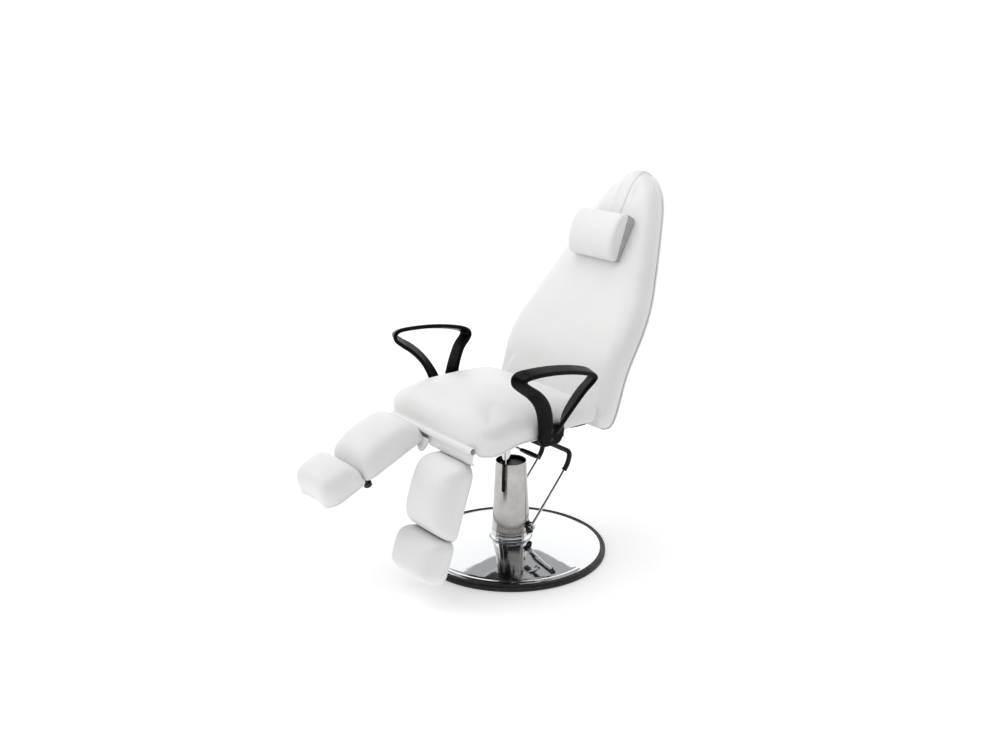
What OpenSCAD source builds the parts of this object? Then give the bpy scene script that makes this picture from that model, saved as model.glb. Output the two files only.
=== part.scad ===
// Hydraulic pedicure chair with a split leg rest, on a round pedestal base.
// The origin is the centre of the base on the floor. The chair faces -Y, the sitter's left is +X, +Z is up.

/* [Base] */
// Outside diameter of the rubber ring round the base
base_d = 600; // [480:10:760]
// Height of the rubber ring
ring_h = 20; // [14:1:30]
// Width of the rubber ring seen from above
ring_w = 17; // [12:1:24]
// Height of the top of the chromed dome
dome_top = 48; // [40:1:58]
// Thickness of the dome's spun sheet
dome_t = 2; // [1.5:0.5:4]

/* [Pump] */
// Height of the top rim of the shroud
shroud_top = 303; // [280:1:330]
// Diameter of the shroud at its top
shroud_top_d = 97; // [94:1:112]
// Diameter of the shroud at its foot
shroud_foot_d = 119; // [114:1:130]
// Wall of the shroud
shroud_t = 1.5; // [1:0.5:3]
// Diameter of the chromed ram
ram_d = 27; // [22:1:30]
// Distance of the ram in front of the pump's centre
ram_offset = 18; // [14:1:20]
// Height that the ram lifts the seat
lift_stroke = 150; // [100:10:170]

/* [Pump lever] */
// Distance between the two rods of the lever
lever_gauge = 130; // [124:2:150]
// Diameter of the lever's rods
lever_rod_d = 9; // [7:1:12]
// Diameter of the rubber sleeve on the lever
lever_sleeve_d = 16; // [13:1:22]
// Angle of the lever's rods above the horizontal
lever_angle = 50; // [40:1:55]

/* [Seat] */
// Width of the seat cushion
seat_w = 504; // [440:4:560]
// Depth of the seat cushion, front edge to the middle of the base
seat_front = 300; // [280:5:340]
// Height of the underside of the seat cushion
seat_z = 474; // [466:2:500]
// Thickness of the seat cushion at its crown
seat_t = 104; // [80:2:120]
// Side of the square steel tube in the seat frame
tube = 25; // [20:1:30]
// Wall of the square steel tube
tube_t = 2; // [1.5:0.5:3]
// Distance between the centres of the two seat rails
rail_gauge = 220; // [200:4:240]

/* [Backrest] */
// Lean of the backrest back from upright
back_lean = 28; // [20:1:34]
// Length of the backrest up its slope
back_len = 808; // [650:2:900]
// Widest width of the backrest
back_w = 522; // [460:2:560]
// Thickness of the backrest
back_t = 74; // [60:1:90]

/* [Head pillow] */
// Width of the head pillow
pillow_w = 206; // [160:2:260]
// Height of the head pillow along the backrest
pillow_h = 146; // [100:2:160]
// Thickness of the head pillow in front of its wedge
pillow_t = 45; // [34:1:60]
// Width of the strap that carries the pillow
strap_w = 48; // [30:2:70]

/* [Leg rests] */
// Width of each leg rest
leg_w = 194; // [150:2:200]
// Gap between the two leg rests
leg_gap = 16; // [8:2:40]
// Length of the calf pad
calf_len = 222; // [180:2:260]
// Length of the foot pad
foot_len = 135; // [110:1:170]
// Thickness of the pads on the leg rests
leg_pad_t = 74; // [50:2:90]
// Angle of the left leg rest below the horizontal
leg_angle_left = 71; // [0:1:80]
// Angle of the right leg rest below the horizontal
leg_angle_right = 24.5; // [0:0.5:80]

/* [Armrests] */
// Distance from the chair's middle to the middle of an armrest's top bar
arm_reach = 309; // [296:1:330]
// Width of the armrest's moulded blade
arm_blade_w = 46; // [36:1:56]
// Thickness of the armrest's moulded blade
arm_blade_t = 13; // [10:1:18]

/* [Hidden] */
$fn = 64;

white = [0.93, 0.93, 0.92];
black = [0.09, 0.09, 0.1];
steel = [0.62, 0.62, 0.64];
bright = [0.82, 0.83, 0.85];
stained = [0.13, 0.12, 0.11];

eps = 0.01;              // overcut that keeps cutters off coincident faces
run = 0.05;              // radial running clearance of every shaft in its bore
slack = 0.5;             // clearance between parts that pass without touching

// --- base and pump ---
ring_r = base_d / 2;
dome_r = ring_r - ring_w + 1;
neck_r = 66;             // radius where the dome meets the pump skirt
weight_r = dome_r - 24;
weight_lift = 3;         // the ballast plate hangs clear of the floor
weight_t = 9;
skirt_z = dome_top;
skirt_h = 26;
body_r = 26;             // wall of the ram's cylinder
head_z = shroud_top - 23;
head_t = 12;
ram_r = ram_d / 2;
chamber_r = ram_r + 5.5;
ram_foot = 60;           // height of the lower end of the ram in its lowest place
piston_t = 18;
hub_z = 350;             // lower end of the swivel hub
plate_t = 6;
plate_z = seat_z - tube - plate_t;
ram_top = plate_z - 12;
plunger_r = 5;
plunger_y = 18;
plunger_top = 240;

// --- pump lever ---
shaft_y = 30;
shaft_z = 92;
shaft_r = 6;
ear_x = lever_gauge / 2 - 6 - slack;  // outer faces of the casting's ears
lever_hub_r = 10;
lever_run = 228;         // length of the straight rods
sleeve_start = 206;      // where the sleeve begins along the rods
sleeve_rise = 40;        // steep part of the sleeve up to the cross bar
sleeve_angle = 73;
bend_r = 16;

// --- seat frame ---
rail_x = rail_gauge / 2;
rail_z = seat_z - tube;
rail_front = 200;
rail_rear = 90;
hub_r = 24;
plate_half = rail_x + tube / 2;
board_t = 12;
board_inset = 15;
cushion_corner = 62;
cushion_rear_gap = 9;    // gap between the cushion and the backrest

// --- backrest hinge ---
back_y = 145;
back_z = seat_z - 30;
hinge_y = back_y + back_t / 2 / cos(back_lean) + 8.0949;   // the hinge stays clear of the backrest's rear face
hinge_z = seat_z - 50;
boss_r = 14;
pin_r = 6;
arm_plate_x = rail_x - 6;            // middle of the backrest's hinge plates
arm_plate_t = 8;
ear_t = 8;
torque_r = 12;
bar_w = 40;
bar_t = 6;
bar_low = 18;            // the backrest's bars start above the bosses of the hinge
bar_len = 270;
back_board_t = 12;
cover_t = 4;

// --- gas strut ---
strut_x = -60;
strut_front_y = -70;
strut_front_z = seat_z - 69;
crank_r = 45;
recline_range = 58;
strut_r = 11;
strut_len = 170;
strut_pin_r = 4;

// --- release lever ---
release_y = -60;
release_z = seat_z - 87;
release_x = 80;

// --- leg rests ---
axle_y = -(seat_front - 47);
axle_z = seat_z - 25;
axle_r = 10;
leg_hub_r = 15;
leg_hub_half = 72;
cover_r = 21;
calf_start = 52;
pad_gap = 3;
leg_x = (leg_w + leg_gap) / 2;
leg_tube_r = 11;
leg_tube_x = 45;
leg_tube_z = 7;
slider_r = 8;
knob_in = 10;
cross_half = leg_x + leg_hub_half + 23;      // the front cross tube reaches past the leg rests' brackets
pad_z = leg_tube_z + leg_tube_r;
leg_board_t = 10;
leg_board_in = 10;
foot_start = calf_start + calf_len + pad_gap;

// --- armrests ---
arm_foot_x = seat_w / 2 + 18;         // middle of the armrest's foot plate
arm_foot_t = 16;
bracket_t = plate_t;
bracket_w = 50;
bracket_y = -70;

// Point on a Catmull-Rom curve through p1 and p2, t from 0 to 1
function cr(p0, p1, p2, p3, t) =
    0.5 * (2 * p1 + (p2 - p0) * t + (2 * p0 - 5 * p1 + 4 * p2 - p3) * t * t
           + (3 * p1 - p0 - 3 * p2 + p3) * t * t * t);
// Smooth curve through a list of points, with n steps between neighbours
function curve(p, n) = let (last = len(p) - 1)
    [for (i = [0:last - 1], k = [0:n - 1])
        cr(p[max(i - 1, 0)], p[i], p[i + 1], p[min(i + 2, last)], k / n), p[last]];
function unit(v) = v / norm(v);
function arc(cx, cy, r, a0, a1, n) =
    [for (i = [0:n]) let (a = a0 + (a1 - a0) * i / n) [cx + r * cos(a), cy + r * sin(a)]];
// Outline of a rectangle with its corners rounded by r, one radius per end
function round_rect(x0, y0, x1, y1, r0, r1) = concat(
    arc(x1 - r0, y0 + r0, r0, -90, 0, 8), arc(x1 - r1, y1 - r1, r1, 0, 90, 8),
    arc(x0 + r1, y1 - r1, r1, 90, 180, 8), arc(x0 + r0, y0 + r0, r0, 180, 270, 8));

// Cylinder along X from x0 to x1
module rod_x(x0, x1, y, z, r) {
    translate([x0, y, z]) rotate([0, 90, 0]) cylinder(h = x1 - x0, r = r);
}
// Cylinder along Y from y0 to y1
module rod_y(x, y0, y1, z, r) {
    translate([x, y1, z]) rotate([90, 0, 0]) cylinder(h = y1 - y0, r = r);
}
// Plate in the YZ plane, from its outline, between x0 and x1
module plate_x(x0, x1, outline) {
    translate([x0, 0, 0]) rotate([90, 0, 90]) linear_extrude(x1 - x0) polygon(outline);
}
module both_sides() {
    children();
    mirror([1, 0, 0]) children();
}
module tube_x(x0, x1, y, z) {
    difference() {
        translate([x0, y, z]) cube([x1 - x0, tube, tube]);
        translate([x0 - eps, y + tube_t, z + tube_t])
            cube([x1 - x0 + 2 * eps, tube - 2 * tube_t, tube - 2 * tube_t]);
    }
}
module tube_y(x, y0, y1, z) {
    difference() {
        translate([x - tube / 2, y0, z]) cube([tube, y1 - y0, tube]);
        translate([x - tube / 2 + tube_t, y0 - eps, z + tube_t])
            cube([tube - 2 * tube_t, y1 - y0 + 2 * eps, tube - 2 * tube_t]);
    }
}

// ---------- base ----------

module base_ring() {
    color(black) rotate_extrude($fn = 128) translate([ring_r - ring_w, 0])
        polygon(concat([[0, 0], [ring_w - 3, 0]], arc(ring_w - 8, ring_h - 8, 8, -20, 90, 8), [[0, ring_h]]));
}

// Height of the dome's outer skin at radius r
function dome_z(r) = ring_h - 2 + (dome_top - ring_h + 2) * cos(90 * pow((r - neck_r) / (dome_r - neck_r), 1.25));

module base_dome() {
    steps = 16;
    radii = [for (i = [0:steps]) dome_r - 1 - (dome_r - 1 - neck_r) * i / steps];
    skin = [for (r = radii) [r, dome_z(r)]];
    inner = [for (i = [steps:-1:0]) [radii[i] - (i == steps ? 0 : dome_t / 2), dome_z(radii[i]) - dome_t]];
    color(bright) rotate_extrude($fn = 128)
        polygon(concat([[ring_r - ring_w, 4], [ring_r - ring_w, ring_h - 3]], skin, inner,
                       [[ring_r - ring_w - dome_t, ring_h - 5], [ring_r - ring_w - dome_t, 4]]));
}

module base_weight() {
    color([0.25, 0.25, 0.26]) difference() {
        union() {
            translate([0, 0, weight_lift]) cylinder(h = weight_t, r = ring_r - ring_w - dome_t);
            translate([0, 0, weight_lift + weight_t]) cylinder(h = 14, r = neck_r - 4);
        }
        bolt_places() translate([0, 0, weight_lift - eps]) {
            cylinder(h = 40, r = 5);
            cylinder(h = 7, r = 9);
        }
    }
}

module bolt_places() {
    for (x = [-1, 1], y = [-1, 1]) translate([24 * x, 24 * y - 2, 0]) children();
}

module base_bolts() {
    color(steel) bolt_places() {
        translate([0, 0, weight_lift + 0.5]) cylinder(h = 6.5, r = 8);
        translate([0, 0, weight_lift + 7 - eps]) cylinder(h = 31, r = 5);
    }
}

// ---------- pump ----------

module pump_body() {
    foot_z = weight_lift + weight_t + 14;
    color(black) difference() {
        union() {
            translate([0, -ram_offset, foot_z]) cylinder(h = head_z - foot_z, r = body_r);
            translate([-34, -42, foot_z]) cube([68, 84, 46]);
            translate([-16, 6, foot_z]) cube([32, 22, plunger_top + 10 - foot_z]);
            // ears that carry the lever's shaft
            rod_x(-ear_x, ear_x, shaft_y, shaft_z, 13);
            translate([-ear_x, shaft_y - 13, foot_z + 40]) cube([2 * ear_x, 26, shaft_z - foot_z - 40]);
            translate([-34, shaft_y - 16, foot_z + 20]) cube([68, 28, shaft_z - foot_z - 10]);
        }
        // chamber and gland of the ram
        translate([0, -ram_offset, ram_foot - 5]) cylinder(h = head_z - ram_foot - 10, r = chamber_r + run);
        translate([0, -ram_offset, head_z - 20]) cylinder(h = 40, r = ram_r + run);
        // bore of the plunger, and the well in which the shaft's finger moves
        translate([0, plunger_y, shaft_z]) cylinder(h = plunger_top - shaft_z, r = plunger_r + run);
        translate([-8, plunger_y - 8, shaft_z - 16]) cube([16, shaft_y - plunger_y + 17, 30]);
        rod_x(-ear_x - eps, ear_x + eps, shaft_y, shaft_z, shaft_r + run);
        bolt_places() translate([0, 0, foot_z - 1]) cylinder(h = 16, r = 5);
    }
}

module pump_head() {
    color(black) difference() {
        translate([0, 0, head_z]) linear_extrude(head_t)
            polygon([[-40, 2], [-13, -ram_offset - body_r], [13, -ram_offset - body_r], [40, 2], [13, 38], [-13, 38]]);
        translate([0, -ram_offset, head_z - eps]) cylinder(h = head_t, r = ram_r + run);
        translate([0, -ram_offset, head_z + head_t - 5]) cylinder(h = 6, r = ram_r + 5);
    }
}

module wiper_seal() {
    color([0.05, 0.05, 0.05]) translate([0, -ram_offset, head_z + head_t - 5]) difference() {
        cylinder(h = 7, r = ram_r + 5);
        translate([0, 0, -1]) cylinder(h = 9, r = ram_r + 0.3);
    }
}

module pump_shroud() {
    foot_z = skirt_z + skirt_h - 8;
    foot_r = shroud_foot_d / 2;
    top_r = shroud_top_d / 2;
    slot_w = 12;
    slot_len = 84;
    color(steel) difference() {
        rotate_extrude() polygon([
            [foot_r - shroud_t, foot_z], [foot_r, foot_z], [foot_r, foot_z + 10],
            [top_r, shroud_top - 3], [top_r - 0.6, shroud_top], [top_r - shroud_t, shroud_top],
            [foot_r - shroud_t, foot_z + 10]]);
        rotate([0, 0, 25 - 90]) {
            translate([0, -slot_w / 2, shroud_top - slot_len]) cube([80, slot_w, slot_len + 1]);
            rod_x(0, 80, 0, shroud_top - slot_len, slot_w / 2);
        }
        both_sides() translate([34, shaft_y - 14, foot_z - 1]) cube([36, 28, shaft_z + 14 - foot_z + 1]);
    }
}

module pump_skirt() {
    color(bright) difference() {
        rotate_extrude() translate([0, skirt_z]) polygon([
            [neck_r - 9, 0], [neck_r - 1, 0], [neck_r - 1, 5], [neck_r - 3, 8], [neck_r - 4, skirt_h - 2],
            [neck_r - 5, skirt_h], [shroud_foot_d / 2, skirt_h], [shroud_foot_d / 2, skirt_h - 8],
            [neck_r - 9, skirt_h - 8]]);
        both_sides() translate([34, shaft_y - 14, skirt_z + skirt_h - 9]) cube([36, 28, 20]);
    }
}

module ram() {
    color(bright) translate([0, -ram_offset, ram_foot]) cylinder(h = ram_top - ram_foot, r = ram_r);
}

module ram_piston() {
    color(steel) translate([0, -ram_offset, ram_foot]) difference() {
        cylinder(h = piston_t, r = chamber_r);
        translate([0, 0, -1]) cylinder(h = piston_t + 2, r = ram_r);
    }
}

module pump_plunger() {
    color(bright) translate([0, plunger_y, shaft_z + 4.5])
        cylinder(h = plunger_top - shaft_z - 20, r = plunger_r);
}

// ---------- pump lever ----------

module lever_shaft() {
    color(steel) {
        rod_x(-lever_gauge / 2 - 6, lever_gauge / 2 + 6, shaft_y, shaft_z, shaft_r);
        // finger that lifts the plunger
        translate([-5, plunger_y - 3, shaft_z - 4]) cube([10, shaft_y - plunger_y + 3, 8]);
    }
}

// The lever's frame: origin at the shaft's axis, +Y along the rods
module at_lever() {
    translate([0, shaft_y, shaft_z]) rotate([lever_angle, 0, 0]) children();
}

module lever_bar() {
    x = lever_gauge / 2;
    color(bright) at_lever() both_sides() difference() {
        union() {
            rod_x(x - 6, x + 6, 0, 0, lever_hub_r);
            rod_y(x, 4, lever_run, 0, lever_rod_d / 2);
        }
        rod_x(x - 7, x + 7, 0, 0, shaft_r);
    }
}

// Rubber sleeve: steep sides, two bends and the cross bar, over the core of the lever
module lever_sleeve() {
    x = lever_gauge / 2;
    turn = sleeve_angle - lever_angle;
    r = lever_sleeve_d / 2;
    knee = r * tan(turn / 2) + 0.4;
    color(black) at_lever() difference() {
        union() {
            both_sides() rod_y(x, sleeve_start, lever_run + knee, 0, r);
            translate([0, lever_run, 0]) rotate([turn, 0, 0]) {
                both_sides() {
                    rod_y(x, -knee, sleeve_rise - bend_r, 0, r);
                    translate([x - bend_r, sleeve_rise - bend_r, 0]) rotate_extrude(angle = 90)
                        translate([bend_r, 0]) circle(r = r);
                }
                rod_x(-x + bend_r, x - bend_r, sleeve_rise, 0, r);
            }
        }
        both_sides() rod_y(x, sleeve_start - 1, lever_run, 0, lever_rod_d / 2);
    }
}

module lever_bolts() {
    color(bright) both_sides() {
        rod_x(lever_gauge / 2 + 6, lever_gauge / 2 + 7.5, shaft_y, shaft_z, 9);
        rod_x(lever_gauge / 2 + 7.5, lever_gauge / 2 + 13, shaft_y, shaft_z, 6.5);
    }
}

// ---------- seat frame ----------

module swivel_hub() {
    color(black) difference() {
        union() {
            translate([0, -ram_offset, hub_z]) cylinder(h = plate_z - hub_z, r = hub_r);
            translate([-plate_half, -44, plate_z]) cube([2 * plate_half, 98, plate_t]);
            translate([tube / 2 - rail_x, -92, plate_z]) cube([2 * rail_x - tube, 50, plate_t]);
            for (a = [45:90:315]) translate([0, -ram_offset, 0]) rotate([90, 0, a])
                translate([0, 0, -2.5]) linear_extrude(5)
                    polygon([[hub_r - 3, plate_z - 45], [hub_r + 28, plate_z], [hub_r - 3, plate_z]]);
        }
        translate([0, -ram_offset, hub_z - 1]) cylinder(h = ram_top + 0.5 - hub_z + 1, r = ram_r + run);
        frame_bolt_places() translate([0, 0, plate_z - 1]) cylinder(h = plate_t + 2, r = 4);
    }
}

module seat_rails() {
    color(black) both_sides() difference() {
        tube_y(rail_x, -rail_front, rail_rear, rail_z);
        frame_bolt_places() translate([0, 0, rail_z - 1]) cylinder(h = tube + 2, r = 4);
        board_bolt_places() translate([0, 0, rail_z - 1]) cylinder(h = tube + 2, r = 4);
    }
}

module seat_cross_tubes() {
    half = cross_half;
    color(black) {
        tube_x(-half, half, -rail_front - tube, rail_z);
        tube_x(-rail_x + tube / 2, rail_x - tube / 2, 40, rail_z);
    }
}

module rail_caps() {
    half = cross_half;
    inner = tube - 2 * tube_t;
    color([0.06, 0.06, 0.06]) both_sides() {
        translate([rail_x - tube / 2, rail_rear, rail_z]) cube([tube, 2.5, tube]);
        translate([rail_x - inner / 2, rail_rear - 12, rail_z + tube_t]) cube([inner, 12, inner]);
        translate([half, -rail_front - tube, rail_z]) cube([2.5, tube, tube]);
        translate([half - 12, -rail_front - tube + tube_t, rail_z + tube_t]) cube([12, inner, inner]);
    }
}

module frame_bolt_places() {
    for (x = [-1, 1], y = [bracket_y, -26, 44]) translate([x * rail_x, y, 0]) children();
}

module board_bolt_places() {
    for (x = [-1, 1]) translate([x * rail_x, 10 - rail_front, 0]) children();
}

// Points at which an armrest is bolted to its bracket
function arm_bolts_z() = [seat_z - 10, seat_z + 16];

module frame_bolts() {
    color(black) {
        frame_bolt_places() {
            translate([0, 0, plate_z - 5]) cylinder(h = 5, r = 7);
            translate([0, 0, plate_z - eps]) cylinder(h = plate_t + tube + board_t, r = 4);
        }
        board_bolt_places() {
            translate([0, 0, rail_z - 5]) cylinder(h = 5, r = 7);
            translate([0, 0, rail_z - eps]) cylinder(h = tube + board_t, r = 4);
        }
        both_sides() for (z = arm_bolts_z()) {
            rod_x(arm_foot_x - arm_foot_t / 2 - bracket_t, arm_foot_x + 3, bracket_y, z, 4);
            rod_x(arm_foot_x + 3 - eps, arm_foot_x + arm_foot_t / 2 - 1, bracket_y, z, 6.5);
        }
    }
}

module seat_board() {
    x = seat_w / 2 - board_inset;
    color(stained) difference() {
        translate([0, 0, seat_z]) linear_extrude(board_t)
            polygon(round_rect(-x, -seat_front + board_inset, x, rail_rear - 8, cushion_corner - 15, 20));
        board_bolt_places() translate([0, 0, seat_z - 1]) cylinder(h = board_t + 2, r = 4);
        frame_bolt_places() translate([0, 0, seat_z - 1]) cylinder(h = board_t + 2, r = 4);
    }
}

// Crown of the seat cushion from front to rear and from its middle to its side,
// as shares of its depth or half width and of its thickness
crown_depth = [[0, 0.2], [0.008, 0.42], [0.04, 0.66], [0.1, 0.84], [0.2, 0.95], [0.38, 1], [0.55, 0.97],
               [0.68, 0.89], [0.8, 0.76], [0.9, 0.57], [0.97, 0.4], [1.04, 0.33]];
crown_side = [[0, 1], [0.2, 0.985], [0.4, 0.93], [0.6, 0.85], [0.76, 0.76], [0.88, 0.66], [0.95, 0.56], [0.99, 0.42],
              [1, 0.28]];

module seat_cushion() {
    x = seat_w / 2;
    in = seat_w / 2 - board_inset;
    depth = seat_front + rail_rear + 50;
    front_low = back_y - back_t / 2 * cos(back_lean);    // backrest's lower front edge
    front_high = back_z + back_t / 2 * sin(back_lean);
    lengthwise = [for (p = curve(crown_depth, 3)) [-seat_front + p[0] * depth, seat_z + p[1] * seat_t]];
    half = [for (p = curve(crown_side, 3)) [p[0] * x, seat_z + p[1] * seat_t]];
    across = concat([[0, seat_z], [x, seat_z]], [for (i = [len(half) - 1:-1:0]) half[i]]);
    color(white) difference() {
        intersection() {
            translate([0, 0, seat_z]) linear_extrude(seat_t)
                polygon(round_rect(-x, -seat_front, x, rail_rear + 66, cushion_corner, 48));
            plate_x(-x, x, concat([[-seat_front, seat_z]], lengthwise, [[rail_rear + 90, seat_z]]));
            translate([0, rail_rear + 90, 0]) rotate([90, 0, 0]) linear_extrude(seat_front + rail_rear + 100) union() {
                polygon(across);
                mirror([1, 0]) polygon(across);
            }
        }
        translate([0, 0, seat_z - 1]) linear_extrude(board_t + 1)
            polygon(round_rect(-in, -seat_front + board_inset, in, rail_rear - 8, cushion_corner - 15, 20));
        // rear face, parallel to the backrest and clear of it
        translate([-x - 1, front_low, front_high]) rotate([-back_lean, 0, 0])
            translate([0, -cushion_rear_gap, -120]) cube([2 * x + 2, 200, 400]);
    }
}

module arm_brackets() {
    out = arm_foot_x - arm_foot_t / 2;
    low = rail_z - bracket_t;
    color(black) both_sides() difference() {
        union() {
            translate([rail_x - tube / 2, bracket_y - bracket_w / 2, low])
                cube([out - rail_x + tube / 2, bracket_w, bracket_t]);
            translate([out - bracket_t, bracket_y - bracket_w / 2, low])
                cube([bracket_t, bracket_w, arm_bolts_z()[1] + 14 - low]);
        }
        for (z = arm_bolts_z()) rod_x(out - bracket_t - 1, out + 1, bracket_y, z, 4);
        translate([rail_x, bracket_y, low - 1]) cylinder(h = bracket_t + 2, r = 4);
    }
}

// ---------- armrests ----------

// Middle line of the armrest's blade seen from the side, as [y, z above the seat's underside]
arm_path = [[-88, -6], [-92, 32], [-104, 72], [-126, 112], [-158, 146], [-194, 172], [-216, 190],
            [-217, 204], [-198, 211], [-150, 212], [-90, 208], [-30, 199], [20, 187], [45, 177],
            [54, 166], [48, 153], [20, 127], [-6, 88], [-23, 54], [-34, 20], [-42, -6]];
// Turn of the blade about its own line: flat to the side at the foot, nearly level along the top
arm_twist = [88, 72, 56, 44, 36, 30, 27, 24, 20, 15, 14, 14, 15, 14, 12, 11, 12, 20, 38, 64, 88];
arm_steps = 4;

// Distance of the blade from the chair's middle at a height above the seat's underside
function arm_x(z) = let (t = max(0, min(1, (z + 10) / 200)))
    arm_foot_x + (arm_reach - arm_foot_x) * (3 * t * t - 2 * t * t * t);

function blade_ring(p, q, c, turn) =
    let (t2 = unit(q - p), n2 = [-t2[1], t2[0]],
         n = [0, -n2[0], -n2[1]] * -1, across = [1, 0, 0],
         w = across * cos(turn) - n * sin(turn), f = n * cos(turn) + across * sin(turn),
         centre = [arm_x(c[1]), c[0], seat_z + c[1]],
         a = arm_blade_w / 2, b = arm_blade_t / 2, r = 4.5)
    [for (s = [[a - r, b], [a, b - r], [a, r - b], [a - r, -b], [r - a, -b], [-a, r - b], [-a, b - r], [r - a, b]])
        centre + w * s[0] + f * s[1]];

module armrest() {
    path = curve(arm_path, arm_steps);
    turns = curve([for (t = arm_twist) [t, 0]], arm_steps);
    count = len(path);
    rings = [for (i = [0:count - 1])
        blade_ring(path[max(i - 1, 0)], path[min(i + 1, count - 1)], path[i], turns[i][0])];
    pts = [for (ring = rings, p = ring) p];
    sides = [for (i = [0:count - 2], k = [0:7]) let (m = (k + 1) % 8)
        [i * 8 + k, i * 8 + m, (i + 1) * 8 + m, (i + 1) * 8 + k]];
    first = [for (k = [7:-1:0]) k];
    end = [for (k = [0:7]) (count - 1) * 8 + k];
    foot = [[-112, 12], [-114, -6], [-108, -20], [-96, -28], [-48, -28], [-34, -20], [-25, -4], [-22, 12],
            [-30, 30], [-62, 34], [-104, 30]];
    x0 = arm_foot_x - arm_foot_t / 2;
    difference() {
        union() {
            polyhedron(points = pts, faces = concat([first], [for (f = sides) [f[3], f[2], f[1], f[0]]], [end]));
            plate_x(x0, x0 + arm_foot_t, [for (p = foot) [p[0], seat_z + p[1]]]);
        }
        translate([x0 - 30, -200, seat_z - 60]) cube([30, 260, 100]);
        for (z = arm_bolts_z()) {
            rod_x(x0 - 1, x0 + arm_foot_t + 40, bracket_y, z, 4);
            rod_x(arm_foot_x + 3, x0 + arm_foot_t + 40, bracket_y, z, 6.5);
        }
    }
}

module armrest_left() {
    color(black) armrest();
}

module armrest_right() {
    color(black) mirror([1, 0, 0]) armrest();
}

// ---------- backrest hinge, gas strut and release lever ----------

module hinge_ears() {
    x = rail_x + tube / 2 - ear_t;
    color(black) both_sides() difference() {
        union() {
            plate_x(x, x + ear_t, [[54, rail_z], [62, hinge_z - 4], [hinge_y - 34, hinge_z - boss_r],
                [hinge_y, hinge_z - boss_r], [hinge_y, hinge_z], [hinge_y - 26, hinge_z - 3],
                [rail_rear + 40, rail_z - 14], [rail_rear + 16, rail_z]]);
            rod_x(x, x + ear_t, hinge_y, hinge_z, boss_r);
        }
        rod_x(x - 1, x + ear_t + 1, hinge_y, hinge_z, pin_r);
    }
}

module recline_pins() {
    inner = arm_plate_x - arm_plate_t / 2;
    outer = rail_x + tube / 2;
    color(steel) both_sides() {
        rod_x(inner, outer, hinge_y, hinge_z, pin_r);
        rod_x(outer, outer + 4, hinge_y, hinge_z, pin_r + 3);
    }
}

// The backrest's frame: origin at the middle of its lower edge, +Z up the slope, +Y to the rear
module at_back() {
    translate([0, back_y, back_z]) rotate([-back_lean, 0, 0]) children();
}
// Recline axis seen in the backrest's frame
axis_by = (hinge_y - back_y) * cos(back_lean) - (hinge_z - back_z) * sin(back_lean);
axis_bz = (hinge_y - back_y) * sin(back_lean) + (hinge_z - back_z) * cos(back_lean);

crank_turn = recline_range / 2;       // the crank hangs straight down halfway through the recline
crank_y = hinge_y + crank_r * sin(crank_turn);
crank_z = hinge_z - crank_r * cos(crank_turn);
crank_x0 = strut_x - 13;

// Forward bow of the backrest that supports the small of the back, against the height up the slope
bow_points = [[-60, 0], [0, 0], [60, 3], [110, 11.5], [160, 21], [205, 23.5], [250, 20.5], [300, 14], [350, 7], [400, 2.5],
              [440, 0], [520, 0]];
bow_table = curve(bow_points, 3);
function bow(z) = max(0, lookup(z, bow_table));
bow_steps = [for (p = bow_table) if (p[0] > 0 && p[0] < 520) p[0]];
// Side outline of a layer of the backrest between two depths and two heights
function layer(y0, y1, z0, z1) = let (zs = concat([z0], [for (z = bow_steps) if (z > z0 && z < z1) z], [z1]))
    concat([for (z = zs) [y0 - bow(z), z]], [for (i = [len(zs) - 1:-1:0]) [y1 - bow(zs[i]), zs[i]]]);

module back_frame() {
    rear = back_t / 2;
    color(black) difference() {
        union() {
            rod_x(-arm_plate_x, arm_plate_x, hinge_y, hinge_z, torque_r);
            at_back() both_sides() {
                plate_x(arm_plate_x - bar_w / 2, arm_plate_x + bar_w / 2, layer(rear, rear + bar_t, bar_low, bar_len));
                plate_x(arm_plate_x - arm_plate_t / 2, arm_plate_x + arm_plate_t / 2,
                        concat([[axis_by - 8, axis_bz - 8], [axis_by + boss_r, axis_bz]],
                               [[rear + bar_t - 1.5 - bow(96), 96]],
                               [for (z = [90:-18:0]) [rear + 1.5 - bow(z), z]]));
                rod_x(arm_plate_x - arm_plate_t / 2, arm_plate_x + arm_plate_t / 2, axis_by, axis_bz, boss_r);
            }
            // crank that pulls the gas strut's rod
            translate([crank_x0, hinge_y, hinge_z]) rotate([crank_turn, 0, 0])
                translate([0, -9, -crank_r]) cube([8, 18, crank_r]);
            rod_x(crank_x0 - 0.5, crank_x0 + 8.5, crank_y, crank_z, 9);
            rod_x(crank_x0, strut_x + 6, crank_y, crank_z, strut_pin_r);
        }
        both_sides() rod_x(arm_plate_x - arm_plate_t / 2 - 1, plate_half + 20, hinge_y, hinge_z, pin_r + run);
        at_back() for (x = [-1, 1], z = back_bolts_z)
            rod_y(x * arm_plate_x, rear - bow(z) - 5, rear - bow(z) + bar_t + 5, z, 4);
    }
}

back_bolts_z = [125, 190, 250];

module back_bolts() {
    rear = back_t / 2;
    color(steel) at_back() for (x = [-1, 1], z = back_bolts_z) {
        rod_y(x * arm_plate_x, rear - bow(z) - cover_t - back_board_t + 2, rear - bow(z) + bar_t + 2, z, 4);
        rod_y(x * arm_plate_x, rear - bow(z) + bar_t + 1.6, rear - bow(z) + bar_t + 6, z, 7.5);
    }
}

strut_pitch = atan2(crank_z - strut_front_z, crank_y - strut_front_y);

// The gas strut's frame: origin at its front pivot, +Y along the strut
module at_strut() {
    translate([strut_x, strut_front_y, strut_front_z]) rotate([strut_pitch, 0, 0]) children();
}
strut_span = norm([crank_y - strut_front_y, crank_z - strut_front_z]);

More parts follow.
